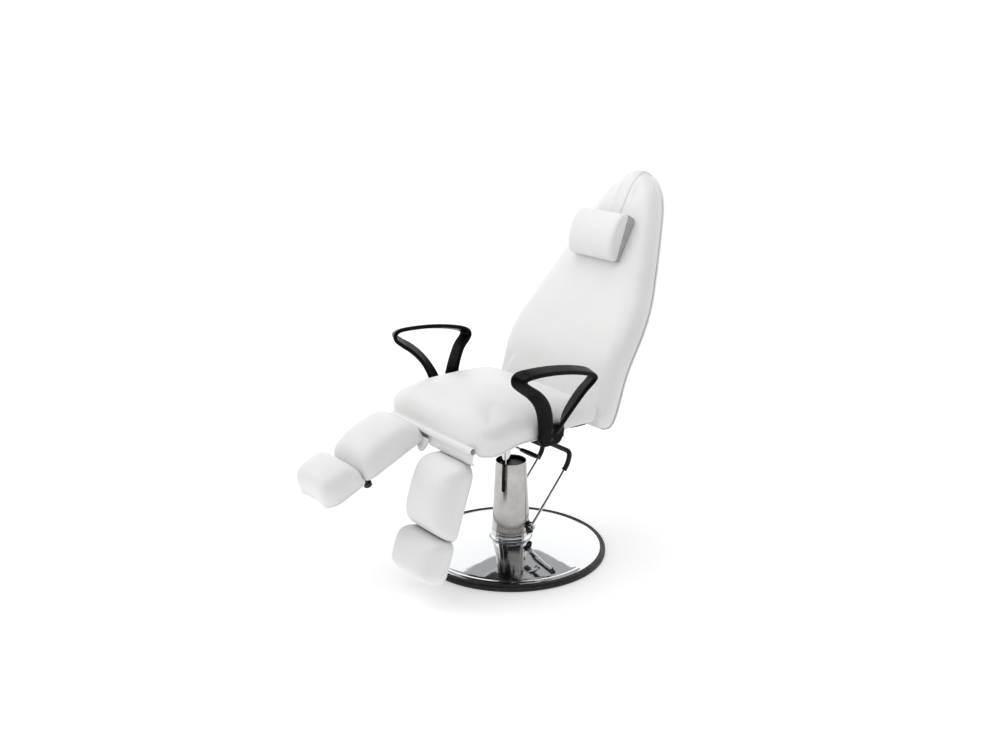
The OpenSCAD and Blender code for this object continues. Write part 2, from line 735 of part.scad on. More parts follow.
module strut_bracket() {
    color(black) {
        difference() {
            union() for (x = [-10, 7]) plate_x(strut_x + x, strut_x + x + 3,
                [[strut_front_y - 11, plate_z], [strut_front_y - 9, strut_front_z - 9],
                 [strut_front_y + 9, strut_front_z - 9], [strut_front_y + 11, plate_z]]);
            rod_x(strut_x - 11, strut_x + 11, strut_front_y, strut_front_z, strut_pin_r);
        }
        rod_x(strut_x - 12.5, strut_x + 12.5, strut_front_y, strut_front_z, strut_pin_r);
    }
}

module gas_cylinder() {
    color(black) at_strut() difference() {
        union() {
            rod_x(-5, 5, 0, 0, 8.5);
            rod_y(0, 6, 24, 0, 6);
            rod_y(0, 22, strut_len, 0, strut_r);
        }
        rod_x(-6, 6, 0, 0, strut_pin_r + run);
        rod_y(0, 90, strut_len + 1, 0, 4 + run);
    }
}

module gas_rod() {
    dip = crank_r * (1 - cos(crank_turn));
    slot_half = strut_pin_r + 1;
    color(bright) at_strut() difference() {
        union() {
            rod_y(0, 140, strut_span - 9, 0, 4);
            translate([-3, strut_span - 10, -dip - 10]) cube([6, 20, dip + 20]);
        }
        for (z = [0, -dip]) rod_x(-4, 4, strut_span, z, slot_half);
        translate([-4, strut_span - slot_half, -dip]) cube([8, 2 * slot_half, dip]);
    }
}

module release_bracket() {
    color(black) {
        difference() {
            union() {
                for (y = [-11, 8]) translate([release_x - 9, release_y + y, release_z - 9])
                    cube([18, 3, plate_z - release_z + 9]);
            }
            rod_y(release_x, release_y - 12, release_y + 12, release_z, 3);
        }
        rod_y(release_x, release_y - 12.5, release_y + 12.5, release_z, 3);
    }
}

module release_rod() {
    color(bright) difference() {
        union() {
            rod_y(release_x, release_y - 7, release_y + 7, release_z, 7.5);
            rod_x(release_x + 4, release_x + 60, release_y, release_z, 4);
        }
        rod_y(release_x, release_y - 8, release_y + 8, release_z, 3 + run);
    }
}

module release_grip() {
    x = release_x + 44;
    color(black) translate([x, release_y, release_z]) rotate([0, 90, 0]) difference() {
        rotate_extrude() polygon([[0, 0], [6.5, 0], [8, 3], [9.5, 14], [9.5, 60], [8.5, 74], [6, 80], [0, 81]]);
        translate([0, 0, -1]) cylinder(h = 17, r = 4);
    }
}

// ---------- backrest ----------

// Half width of the backrest as a share of the widest, against the share of its length
back_shape = [[0, 0.87], [0.012, 0.955], [0.04, 0.995], [0.1, 1], [0.24, 1], [0.35, 0.978], [0.47, 0.904], [0.6, 0.774],
              [0.72, 0.646], [0.804, 0.548], [0.866, 0.471], [0.916, 0.383], [0.953, 0.28], [0.978, 0.184], [1, 0.046]];

// Outline of the backrest, drawn in by a margin all round
function back_outline(margin) = let (
    side = curve([for (s = back_shape) [max(6, s[1] * back_w / 2 - margin), margin + s[0] * (back_len - 2 * margin)]], 3))
    concat(side, [for (i = [len(side) - 1:-1:0]) [-side[i][0], side[i][1]]]);

// Layer of the backrest between two depths, drawn in by a margin all round
module back_slab(y0, y1, margin) {
    intersection() {
        translate([0, back_t, 0]) rotate([90, 0, 0]) linear_extrude(2 * back_t) polygon(back_outline(margin));
        plate_x(-back_w, back_w, layer(y0, y1, -1, back_len + 1));
    }
}

module back_bolt_holes() {
    for (x = [-1, 1], z = back_bolts_z) rod_y(x * arm_plate_x, -20, back_t, z, 4);
}

module back_cushion() {
    rear = back_t / 2;
    color(white) at_back() difference() {
        back_slab(-rear, rear - cover_t, 0);
        back_slab(rear - cover_t - back_board_t, rear, 14);
    }
}

module back_board() {
    rear = back_t / 2 - cover_t;
    color(stained) at_back() difference() {
        back_slab(rear - back_board_t, rear, 14);
        back_bolt_holes();
    }
}

module back_cover() {
    rear = back_t / 2;
    color(white) at_back() difference() {
        back_slab(rear - cover_t, rear, 0);
        back_bolt_holes();
    }
}

// ---------- head pillow ----------

pillow_mid = 0.698 * back_len;        // height of the pillow's middle up the backrest
pillow_base_low = 13;                 // thickness of the wedge behind the pillow at its lower edge
pillow_base_high = 36;                // and at its upper edge
strap_t = 2.5;
strap_low = pillow_mid - pillow_h / 2 + 14;
pillow_rear = -back_t / 2 - strap_t - 0.4;

module headrest_strap() {
    front = -back_t / 2;
    rear = back_t / 2;
    color(white) at_back() {
        translate([-strap_w / 2, front - strap_t, strap_low]) cube([strap_w, strap_t, back_len - strap_low]);
        translate([-strap_w / 2, front - strap_t, back_len]) cube([strap_w, back_t + 2 * strap_t, strap_t]);
        translate([-strap_w / 2, rear, back_len - 170]) cube([strap_w, strap_t, 170 + strap_t]);
    }
}

// Seam between the pillow and its wedge: its lower and upper ends as [y, z]
pillow_seam = [[pillow_rear - pillow_base_low, pillow_mid - pillow_h / 2],
               [pillow_rear - pillow_base_high, pillow_mid + pillow_h / 2]];

module head_pillow() {
    along = unit(pillow_seam[1] - pillow_seam[0]);
    out = [-along[1], along[0]];
    mid = (pillow_seam[0] + pillow_seam[1]) / 2;
    half = norm(pillow_seam[1] - pillow_seam[0]) / 2;
    color(white) at_back() intersection() {
        translate([-pillow_w / 2, 0, 0]) rotate([90, 0, 90]) linear_extrude(pillow_w) polygon(
            [for (a = [-90:10:90]) mid + along * half * sin(a) + out * pillow_t * pow(cos(a), 0.62)]);
        translate([0, 0, pillow_mid - pillow_h]) linear_extrude(2 * pillow_h)
            polygon(round_rect(-pillow_w / 2, mid[0] - pillow_t, pillow_w / 2, 0, 26, 1));
    }
}

module pillow_base() {
    color([0.45, 0.45, 0.46]) at_back() translate([-pillow_w / 2, 0, 0]) rotate([90, 0, 90]) linear_extrude(pillow_w) polygon([
        pillow_seam[0], [pillow_rear, pillow_seam[0][1] + 4], [pillow_rear, pillow_seam[1][1] - 8],
        [pillow_rear - 8, pillow_seam[1][1]], pillow_seam[1]]);
}

// ---------- leg rests ----------

// A leg rest's frame: origin on the axle at the middle of the leg, -Y along the leg, +Z out of the pad
module at_leg(side) {
    translate([side * leg_x, axle_y, axle_z])
        rotate([side > 0 ? leg_angle_left : leg_angle_right, 0, 0]) children();
}

module leg_axle() {
    half = leg_x + leg_hub_half + 20;
    color(steel) rod_x(-half, half, axle_y, axle_z, axle_r);
}

module axle_brackets() {
    tube_front = -rail_front - tube;
    color(black) for (x = [-1, 0, 1]) let (mid = x * (leg_x + leg_hub_half + 14)) difference() {
        union() {
            rod_x(mid - 4, mid + 4, axle_y, axle_z, axle_r + 4);
            plate_x(mid - 4, mid + 4, [[axle_y, axle_z - 12], [tube_front + 14, rail_z - 5], [tube_front + 14, rail_z],
                                       [tube_front, rail_z], [tube_front, rail_z + 8], [axle_y, axle_z + 8]]);
        }
        rod_x(mid - 5, mid + 5, axle_y, axle_z, axle_r);
    }
}

module leg_frame(side) {
    reach = calf_start + calf_len - 3;
    color(black) at_leg(side) difference() {
        union() {
            rod_x(-leg_hub_half, leg_hub_half, 0, 0, leg_hub_r);
            for (x = [-1, 1]) rod_y(x * leg_tube_x, -reach, 0, leg_tube_z, leg_tube_r);
            // boss for the clamp knob, on the inner tube
            translate([-side * leg_tube_x, -reach + knob_in, -8]) cylinder(h = 8, r = 10);
        }
        rod_x(-leg_hub_half - 1, leg_hub_half + 1, 0, 0, axle_r + run);
        for (x = [-1, 1]) rod_y(x * leg_tube_x, -reach - 1, -60, leg_tube_z, slider_r + run);
        translate([-side * leg_tube_x, -reach + knob_in, -14]) cylinder(h = 24, r = 3 + run);
    }
}

module leg_board(side, y0, y1) {
    x = leg_w / 2 - leg_board_in;
    color(stained) at_leg(side) translate([0, 0, pad_z]) linear_extrude(leg_board_t)
        polygon(round_rect(-x, y0, x, y1, 14, 14));
}

// Upholstered pad over its board: corner radii at the outer and the inner end of the pad
module leg_pad(side, y0, y1, r_low, r_high) {
    x = leg_w / 2;
    in = x - leg_board_in;
    color(white) at_leg(side) difference() {
        translate([0, 0, pad_z]) linear_extrude(leg_pad_t) polygon(round_rect(-x, y0, x, y1, r_low, r_high));
        translate([0, 0, pad_z - 1]) linear_extrude(leg_board_t + 1)
            polygon(round_rect(-in, y0 + leg_board_in, in, y1 - leg_board_in, 14, 14));
    }
}

module calf_board(side) {
    leg_board(side, -calf_start - calf_len + leg_board_in, -calf_start - leg_board_in);
}

module calf_pad(side) {
    leg_pad(side, -calf_start - calf_len, -calf_start, 16, 46);
}

module foot_board(side) {
    leg_board(side, -foot_start - foot_len + leg_board_in, -foot_start - leg_board_in);
}

module foot_pad(side) {
    leg_pad(side, -foot_start - foot_len, -foot_start, 40, 16);
}

// Vinyl sleeve over the leg's hub, open where the leg's tubes come out
module hinge_cover(side) {
    half = leg_hub_half;
    color(white) at_leg(side) difference() {
        rod_x(-half, half, 0, 0, cover_r);
        rod_x(-half - 1, half + 1, 0, 0, leg_hub_r);
        translate([-half - 1, -cover_r - 1, leg_tube_z - leg_tube_r - 1])
            cube([2 * half + 2, cover_r + 1, 2 * leg_tube_r + 2]);
    }
}

module clamp_knob(side) {
    reach = calf_start + calf_len - 3;
    color(black) at_leg(side) translate([-side * leg_tube_x, -reach + knob_in, 0]) {
        translate([0, 0, -26 - slack]) cylinder(h = 14, r = 13);
        translate([0, 0, -12 - slack]) cylinder(h = 4, r = 8);
        translate([0, 0, -8 - slack - eps]) cylinder(h = 6, r = 3);
    }
}

module foot_slider(side) {
    reach = foot_start + foot_len - 12;
    color(bright) at_leg(side) {
        for (x = [-1, 1]) rod_y(x * leg_tube_x, -reach, -140, leg_tube_z, slider_r);
        for (y = [foot_start + 14, foot_start + foot_len - 44])
            translate([-leg_tube_x - 14, -y - 24, pad_z - 4]) cube([2 * leg_tube_x + 28, 24, 4]);
    }
}

module leg_frame_left() { leg_frame(1); }
module calf_board_left() { calf_board(1); }
module calf_pad_left() { calf_pad(1); }
module hinge_cover_left() { hinge_cover(1); }
module clamp_knob_left() { clamp_knob(1); }
module foot_slider_left() { foot_slider(1); }
module foot_board_left() { foot_board(1); }
module foot_pad_left() { foot_pad(1); }
module leg_frame_right() { leg_frame(-1); }
module calf_board_right() { calf_board(-1); }
module calf_pad_right() { calf_pad(-1); }
module hinge_cover_right() { hinge_cover(-1); }
module clamp_knob_right() { clamp_knob(-1); }
module foot_slider_right() { foot_slider(-1); }
module foot_board_right() { foot_board(-1); }
module foot_pad_right() { foot_pad(-1); }

base_ring();
base_dome();
base_weight();
base_bolts();
pump_body();
pump_head();
wiper_seal();
pump_shroud();
pump_skirt();
ram();
ram_piston();
pump_plunger();
lever_shaft();
lever_bar();
lever_sleeve();
lever_bolts();
swivel_hub();
seat_rails();
seat_cross_tubes();
rail_caps();
seat_board();
seat_cushion();
arm_brackets();
armrest_left();
armrest_right();
frame_bolts();
hinge_ears();
recline_pins();
leg_axle();
axle_brackets();
strut_bracket();
release_bracket();
release_rod();
release_grip();
gas_cylinder();
gas_rod();
back_frame();
back_board();
back_cushion();
back_cover();
back_bolts();
headrest_strap();
head_pillow();
leg_frame_left();
calf_board_left();
calf_pad_left();
hinge_cover_left();
clamp_knob_left();
foot_slider_left();
foot_board_left();
foot_pad_left();
leg_frame_right();
calf_board_right();
calf_pad_right();
hinge_cover_right();
clamp_knob_right();
foot_slider_right();
foot_board_right();
foot_pad_right();
pillow_base();
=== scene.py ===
"""A pedicure chair: an upholstered seat, back and split leg rest on a hydraulic pump and a chromed round base.

The sections follow the chair as it is put together, from the floor up. Meshes are drawn in millimetres
in the chair's own frame, and each piece is put in metres when it is made.
"""
import math

import bmesh
import bpy
from mathutils import Matrix, Vector
from mathutils.kdtree import KDTree


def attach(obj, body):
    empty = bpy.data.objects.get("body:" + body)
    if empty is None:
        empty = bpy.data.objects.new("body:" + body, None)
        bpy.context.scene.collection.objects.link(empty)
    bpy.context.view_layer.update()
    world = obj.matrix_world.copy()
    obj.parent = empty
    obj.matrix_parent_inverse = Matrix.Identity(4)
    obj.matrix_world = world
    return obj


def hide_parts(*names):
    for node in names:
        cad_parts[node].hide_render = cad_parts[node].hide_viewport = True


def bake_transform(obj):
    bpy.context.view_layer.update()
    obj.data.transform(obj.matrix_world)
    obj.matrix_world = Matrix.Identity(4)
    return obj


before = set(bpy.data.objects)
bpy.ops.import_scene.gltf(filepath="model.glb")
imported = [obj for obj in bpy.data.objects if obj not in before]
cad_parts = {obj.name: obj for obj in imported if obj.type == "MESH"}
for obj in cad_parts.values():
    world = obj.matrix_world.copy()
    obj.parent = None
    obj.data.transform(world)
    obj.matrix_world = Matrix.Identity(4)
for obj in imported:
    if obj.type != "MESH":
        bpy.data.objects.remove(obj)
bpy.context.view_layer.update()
MM = 0.001

# --- Studio -------------------------------------------------------------------------------------
# A white sky and two large soft panels, one in front of the chair and one above it, light the studio.
# The camera looks down on the chair from its front left.

scene = bpy.context.scene
scene.view_settings.view_transform = "Standard"


def aim(thing, place, target):
    """Puts a lamp or the camera at a place, looking at a target."""
    thing.location = Vector(place)
    thing.rotation_euler = (Vector(target) - Vector(place)).to_track_quat("-Z", "Y").to_euler()


camera = bpy.data.objects.new("camera", bpy.data.cameras.new("camera"))
scene.collection.objects.link(camera)
camera.data.sensor_width = 36
camera.data.lens = 41.4
aim(camera, (2.630, -2.076, 1.590), (-0.0209, -0.0271, 0.5782))
scene.camera = camera


def panel(name, place, size, power):
    """A square soft box, aimed at the middle of the chair."""
    light = bpy.data.objects.new(name, bpy.data.lights.new(name, "AREA"))
    scene.collection.objects.link(light)
    light.data.shape = "SQUARE"
    light.data.size = size
    light.data.energy = power
    aim(light, place, (0, 0, 0.5))


panel("key_panel", (-1.6, -2.6, 3.0), 2.2, 23)
panel("top_panel", (-0.4, -0.2, 3.6), 2.6, 36)

world = bpy.data.worlds.new("studio")
world.use_nodes = True
sky = world.node_tree.nodes["Background"].inputs
sky["Color"].default_value, sky["Strength"].default_value = (1, 1, 1, 1), 0.54
scene.world = world

# --- Base ring ----------------------------------------------------------------------------------
# An extruded black rubber ring pushed over the rim of the base. It has a rounded outer lip, a thin
# inner lip that grips the dome, and a satin skin with a little dust in it.


class Value:
    """A socket that takes part in arithmetic. Each step adds a Math node."""

    def __init__(self, finish, socket):
        self.finish, self.socket = finish, socket

    def step(self, operation, *terms):
        return self.finish.node("ShaderNodeMath", dict(operation=operation), dict(enumerate(terms)))

    def __add__(self, other):
        return self.step("ADD", self, other)

    def __mul__(self, other):
        return self.step("MULTIPLY", self, other)

    def band(self, low, high, to_low=0.0, to_high=1.0):
        """This value, taken from one range to another and held inside it."""
        return self.finish.node("ShaderNodeMapRange", dict(clamp=True),
                                {0: self, 1: low, 2: high, 3: to_low, 4: to_high})


class Finish:
    """A procedural finish: one Principled shader and the nodes that vary it over the surface."""

    def __init__(self, name, color, roughness, **fixed):
        self.material = bpy.data.materials.new(name)
        self.material.use_nodes = True
        self.tree = self.material.node_tree
        self.shader = self.tree.nodes["Principled BSDF"]
        self.set("Base Color", (*color, 1))
        self.set("Roughness", roughness)
        for socket, value in fixed.items():
            self.set(socket.replace("_", " ").title().replace("Ior", "IOR"), value)
        self.place = self.node("ShaderNodeTexCoord", {}, {}, "Object")

    def set(self, socket, value):
        """Sets a socket of the shader to a constant, or links a value to it."""
        target = self.shader.inputs[socket]
        if isinstance(value, Value):
            self.tree.links.new(value.socket, target)
        else:
            target.default_value = value

    def node(self, kind, settings, sockets, out=0):
        """A node of one kind: its settings first, then the values or links of its sockets."""
        made = self.tree.nodes.new(kind)
        for name, value in settings.items():
            setattr(made, name, value)
        for key, value in sockets.items():
            if isinstance(value, Value):
                self.tree.links.new(value.socket, made.inputs[key])
            else:
                made.inputs[key].default_value = value
        return Value(self, made.outputs[out])

    def stretched(self, scale):
        """The place on the piece, scaled by its own factor along each axis."""
        return self.node("ShaderNodeMapping", {}, {"Vector": self.place, "Scale": scale})

    def noise(self, scale, detail=2.0, rough=0.5, at=None):
        return self.node("ShaderNodeTexNoise", {}, {
            "Vector": at or self.place, "Scale": scale, "Detail": detail, "Roughness": rough})

    def cells(self, scale, feature="F1"):
        return self.node("ShaderNodeTexVoronoi", dict(feature=feature), {"Vector": self.place, "Scale": scale})

    def tint(self, factor, one, two):
        """A colour between two others."""
        self.set("Base Color", self.node("ShaderNodeMix", dict(data_type="RGBA"),
                                         {0: factor, 6: (*one, 1), 7: (*two, 1)}, 2))

    def bump(self, height, depth, under=None):
        """Relief of a depth in metres, over the relief of another bump if there is one."""
        sockets = {"Height": height, "Distance": depth, "Strength": 1.0}
        if under:
            sockets["Normal"] = under
        relief = self.node("ShaderNodeBump", {}, sockets)
        self.set("Normal", relief)
        return relief


def smooth_shaded(mesh, sharp=35):
    """Smooth shading, with the edges that turn by more than an angle left sharp."""
    mesh.polygons.foreach_set("use_smooth", [True] * len(mesh.polygons))
    mesh.set_sharp_from_angle(angle=math.radians(sharp))


def piece(name, shape, body, finish, stands_for=(), sharp=35):
    """A finished mesh in metres that rides on a body and stands for CAD nodes."""
    bmesh.ops.scale(shape, vec=(MM, MM, MM), verts=shape.verts)
    mesh = bpy.data.meshes.new(name)
    shape.to_mesh(mesh)
    shape.free()
    smooth_shaded(mesh, sharp)
    mesh.materials.append(finish.material)
    made = bpy.data.objects.new(name, mesh)
    scene.collection.objects.link(made)
    if body:
        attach(made, body)
    if stands_for:
        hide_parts(*stands_for)
    return made


def turned(profile, steps=128, closed=True):
    """A shape turned round the Z axis from a profile of (radius, height) points."""
    shape = bmesh.new()
    points = [shape.verts.new((r, 0, z)) for r, z in profile]
    pairs = list(zip(points, points[1:])) + ([(points[-1], points[0])] if closed else [])
    edges = [shape.edges.new(pair) for pair in pairs]
    bmesh.ops.spin(shape, geom=points + edges, cent=(0, 0, 0), axis=(0, 0, 1), angle=math.tau, steps=steps,
                   use_merge=True)
    bmesh.ops.remove_doubles(shape, verts=shape.verts, dist=1e-4)
    bmesh.ops.recalc_face_normals(shape, faces=shape.faces)
    return shape


def arc(cx, cy, r, first, last, n):
    """Points on an arc, its angles in degrees."""
    angles = [math.radians(first + (last - first) * i / n) for i in range(n + 1)]
    return [(cx + r * math.cos(a), cy + r * math.sin(a)) for a in angles]


rubber = Finish("black_rubber", (0.012, 0.012, 0.013), 0.5, specular_ior_level=0.3)
rubber.set("Roughness", rubber.noise(60, 3).band(0.3, 0.7, 0.42, 0.58))
rubber.tint(rubber.noise(25, 4, 0.6).band(0.45, 0.8), (0.010, 0.010, 0.011), (0.032, 0.032, 0.033))
rubber.bump(rubber.noise(900, 2), 0.00012)

RING_R, RING_IN, RING_H = 300, 283, 20
ring_profile = ([(RING_IN + 0.2, 0.2), (RING_R - 4, 0)] + arc(RING_R - 5, 5, 5, -70, 0, 4)
                + arc(RING_R - 7.5, RING_H - 7.8, 7.5, 0, 96, 10)
                + [(RING_R - 10, RING_H - 1.3), (RING_R - 11.2, RING_H - 1.6)]
                + arc(RING_IN + 2.6, RING_H - 2.6, 2.6, 60, 180, 6))
piece("rubber_ring", turned(ring_profile, 160), "base", rubber, ["base_ring"])

# --- Base dome ----------------------------------------------------------------------------------
# A disc of sheet steel spun into a shallow dome with a rolled bead inside its rim, and chromed
# bright. It sits in the rubber ring and covers the ballast plate.

chrome = Finish("bright_chrome", (0.64, 0.65, 0.66), 0.04, metallic=1.0)
chrome.set("Roughness", chrome.noise(18, 4, 0.6).band(0.35, 0.8, 0.025, 0.085))
chrome.bump(chrome.noise(14, 2), 0.00035)

DOME_RIM, DOME_NECK, DOME_TOP, SHEET = 283.8, 66, 48, 2


def dome_height(r):
    """The height of the dome's skin: steep at the rim and flat at the neck."""
    share = max(0, (r - DOME_NECK) / (DOME_RIM + 0.2 - DOME_NECK))
    return RING_H - 2 + (DOME_TOP - RING_H + 2) * (1 - share ** 1.35)


def bead(r):
    """The rolled bead inside the rim, 1.2 mm high."""
    return 1.2 * math.exp(-((r - 272) / 3.2) ** 2) - 0.8 * math.exp(-((r - 265) / 3.0) ** 2)


dome_radii = [DOME_RIM - 0.8 - i * 2.4 for i in range(91)]
dome_skin = [(r, dome_height(r) + bead(r)) for r in dome_radii]
dome_back = [(r - 0.4, dome_height(r) - SHEET) for r in reversed(dome_radii[::5])]
dome_profile = [(282.8, 4.2), (282.9, 15)] + dome_skin + dome_back + [(280.9, 13), (280.9, 4.2)]
piece("base_cover", turned(dome_profile, 192), "base", chrome, ["base_dome"], sharp=50)

# --- Ballast plate and base bolts ---------------------------------------------------------------
# A rough cast disc under the dome gives the base its weight. Four zinc-plated bolts hold the pump
# to it, and the pump's casting stands on it inside the shroud.


def refinish(finish, *nodes):
    """Gives nodes of the frame, whose shape is right as it is, their finish."""
    for name in nodes:
        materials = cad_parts[name].data.materials
        materials.clear()
        materials.append(finish.material)


cast_iron = Finish("cast_iron", (0.02, 0.02, 0.02), 0.7)
cast_iron.set("Roughness", cast_iron.noise(120, 3).band(0.3, 0.7, 0.55, 0.8))
cast_iron.tint(cast_iron.noise(45, 5, 0.65).band(0.4, 0.75), (0.014, 0.014, 0.015), (0.045, 0.042, 0.040))
cast_iron.bump(cast_iron.noise(420, 4, 0.7), 0.0006)
zinc = Finish("zinc_plate", (0.46, 0.46, 0.45), 0.34, metallic=1.0)
zinc.set("Roughness", zinc.noise(160, 4, 0.6).band(0.3, 0.7, 0.24, 0.44))
zinc.tint(zinc.cells(700), (0.40, 0.40, 0.39), (0.56, 0.56, 0.54))
zinc.bump(zinc.noise(1500, 2), 0.00004)
refinish(cast_iron, "base_weight", "pump_body")
refinish(zinc, "base_bolts", "ram_piston", "pump_plunger")

# --- Pump head and wiper seal -------------------------------------------------------------------
# The pump's black-coated head closes the cylinder just under the rim of the shroud. A rubber wiper
# lies in it round the ram.

black_coat = Finish("black_powder_coat", (0.016, 0.016, 0.018), 0.42, specular_ior_level=0.3)
black_coat.set("Roughness", black_coat.noise(90, 3).band(0.3, 0.7, 0.34, 0.52))
black_coat.tint(black_coat.noise(30, 4, 0.6).band(0.45, 0.8), (0.014, 0.014, 0.016), (0.03, 0.03, 0.033))
black_coat.bump(black_coat.noise(650, 2), 0.00018)
refinish(black_coat, "pump_head", "strut_bracket", "release_bracket", "hinge_ears", "back_frame",
         "axle_brackets", "arm_brackets", "seat_rails", "seat_cross_tubes")

RAM_Y = -18


def moved(shape, *distance):
    """Moves a shape along the three axes."""
    bmesh.ops.translate(shape, vec=distance, verts=shape.verts)
    return shape


seal_profile = [(18.4, 287.2), (18.4, 291.6), (17.6, 292.4), (16.2, 292.6), (14.4, 293.8), (13.9, 293.4),
                (14.1, 287.2)]
piece("ram_wiper", moved(turned(seal_profile, 48), 0, RAM_Y, 0), "base", rubber, ["wiper_seal"])

# --- Pump shroud --------------------------------------------------------------------------------
# A tapered stainless tube, brushed round its girth, hides the pump. It has a rolled top rim, a
# round-ended slot at the front and two cut-outs for the lever's shaft.

brushed = Finish("brushed_stainless", (0.44, 0.43, 0.41), 0.2, metallic=1.0, anisotropic=0.6)
hairline = brushed.noise(1.0, 3, 0.7, at=brushed.stretched((9, 9, 2600)))
brushed.set("Roughness", hairline.band(0.25, 0.75, 0.1, 0.2))
brushed.tint(brushed.noise(22, 3).band(0.35, 0.7), (0.40, 0.39, 0.37), (0.50, 0.49, 0.47))
brushed.bump(hairline, 0.00003)

FOOT_R, TOP_R, SHROUD_FOOT, SHROUD_TOP, SHROUD_T = 59.5, 48.5, 66, 303, 1.5
SLOT_W, SLOT_LEN, SLOT_TURN = 12, 84, 25
SHAFT_Y, SHAFT_Z = 30, 92


def swung(shape, angle, axis):
    """Turns a shape by an angle in radians about an axis through the origin."""
    bmesh.ops.rotate(shape, matrix=Matrix.Rotation(angle, 3, axis), verts=shape.verts)
    return shape


def cut(made, *cutters):
    """Cuts shapes, drawn in millimetres, out of a finished piece."""
    for shape in cutters:
        bmesh.ops.scale(shape, vec=(MM, MM, MM), verts=shape.verts)
        mesh = bpy.data.meshes.new("cutter")
        shape.to_mesh(mesh)
        shape.free()
        tool = bpy.data.objects.new("cutter", mesh)
        scene.collection.objects.link(tool)
        boolean = made.modifiers.new("cut", "BOOLEAN")
        boolean.operation, boolean.solver, boolean.object = "DIFFERENCE", "EXACT", tool
        apply_modifiers(made)
        bpy.data.objects.remove(tool)


def apply_modifiers(made, sharp=35):
    """Puts a piece's modifiers into its mesh."""
    bpy.context.view_layer.update()
    graph = bpy.context.evaluated_depsgraph_get()
    mesh = bpy.data.meshes.new_from_object(made.evaluated_get(graph))
    made.modifiers.clear()
    made.data = mesh
    smooth_shaded(mesh, sharp)


def block(low, high):
    """A cuboid between two corners."""
    shape = bmesh.new()
    bmesh.ops.create_cube(shape, size=1)
    bmesh.ops.scale(shape, vec=[b - a for a, b in zip(low, high)], verts=shape.verts)
    return moved(shape, *[(a + b) / 2 for a, b in zip(low, high)])


def shaft_gaps(low, high):
    """Cutters that clear both ends of the lever's shaft between two heights."""
    return [block((x0, SHAFT_Y - 14, low), (x1, SHAFT_Y + 14, high)) for x0, x1 in ((34, 75), (-75, -34))]


shroud_profile = ([(FOOT_R, SHROUD_FOOT + i * 2) for i in range(6)]
                  + [(FOOT_R + (TOP_R - FOOT_R) * i / 30, SHROUD_FOOT + 10 + i * 7.5) for i in range(1, 31)]
                  + arc(TOP_R - 0.8, SHROUD_TOP - 0.8, 0.8, 0, 180, 6)
                  + [(TOP_R - SHROUD_T, SHROUD_TOP - 3), (FOOT_R - SHROUD_T, SHROUD_FOOT + 10),
                     (FOOT_R - SHROUD_T, SHROUD_FOOT)])
shroud = piece("pump_tube", turned(shroud_profile, 144), "base", brushed, ["pump_shroud"])
slot_cutter = block((0, -SLOT_W / 2, SHROUD_TOP - SLOT_LEN), (80, SLOT_W / 2, SHROUD_TOP + 2))
slot_end = bmesh.new()
bmesh.ops.create_cone(slot_end, cap_ends=True, segments=32, radius1=SLOT_W / 2, radius2=SLOT_W / 2, depth=80)
moved(swung(slot_end, math.pi / 2, "Y"), 40, 0, SHROUD_TOP - SLOT_LEN)
slot_turn = math.radians(SLOT_TURN - 90)
cut(shroud, swung(slot_cutter, slot_turn, "Z"), swung(slot_end, slot_turn, "Z"),
    *shaft_gaps(SHROUD_FOOT - 2, SHAFT_Z + 14))

# --- Pump skirt ---------------------------------------------------------------------------------
# A chromed collar joins the shroud to the dome. It has a stepped foot and a bright rounded shoulder
# under the shroud.

skirt_profile = ([(57, 48.2), (65, 48)] + arc(63.2, 50.6, 2, -50, 60, 6) + [(62.8, 55.5)]
                 + arc(61.4, 58.2, 1.2, -60, 60, 4) + [(61.6, 62), (61.8, 69)]
                 + arc(60.8, 72.8, 1.2, 0, 100, 5) + [(59.6, 74), (59.6, 66.1), (57, 66)])
skirt = piece("pump_collar", turned(skirt_profile, 144), "base", chrome, ["pump_skirt"])
cut(skirt, *shaft_gaps(64.5, 80))

# --- Ram ----------------------------------------------------------------------------------------
# The pump's ground and chromed ram carries the seat. Its top is chamfered where it enters the
# swivel hub.

RAM_R, RAM_FOOT, RAM_TOP = 13.5, 60, 431
ram_profile = [(0, RAM_FOOT), (RAM_R - 1, RAM_FOOT), (RAM_R, RAM_FOOT + 1), (RAM_R, RAM_TOP - 2),
               (RAM_R - 2, RAM_TOP), (0, RAM_TOP)]
ram = moved(turned(ram_profile, 64, closed=False), 0, RAM_Y, 0)
piece("lift_ram", ram, "ram", chrome, ["ram"])

# --- Pump lever ---------------------------------------------------------------------------------
# A bent steel bar pumps the chair up. Two chromed rods rise from eyes on the shaft, and their ends
# and the cross bar between them are covered by one black rubber sleeve.

LEVER_X, ROD_R, ROD_LEN = 65, 4.5, 228
SLEEVE_START, SLEEVE_RISE, SLEEVE_R, SLEEVE_BEND = 206, 40, 8, 20.8
LEVER_ANGLE, SLEEVE_ANGLE = math.radians(50), math.radians(73)


def on_lever(shape):
    """Moves a shape drawn along +Y from the shaft's axis to the lever's place."""
    return moved(swung(shape, LEVER_ANGLE, "X"), 0, SHAFT_Y, SHAFT_Z)


def rounded(path, bend, steps):
    """A path whose corners are rounded off."""
    path = [Vector(p) for p in path]
    soft = [path[0]]
    for before, corner, after in zip(path, path[1:], path[2:]):
        r = min(bend, (before - corner).length * 0.49, (after - corner).length * 0.49)
        first, last = corner + (before - corner).normalized() * r, corner + (after - corner).normalized() * r
        soft += [(1 - t) ** 2 * first + 2 * t * (1 - t) * corner + t * t * last
                 for t in [i / steps for i in range(steps + 1)]]
    return soft + [path[-1]]


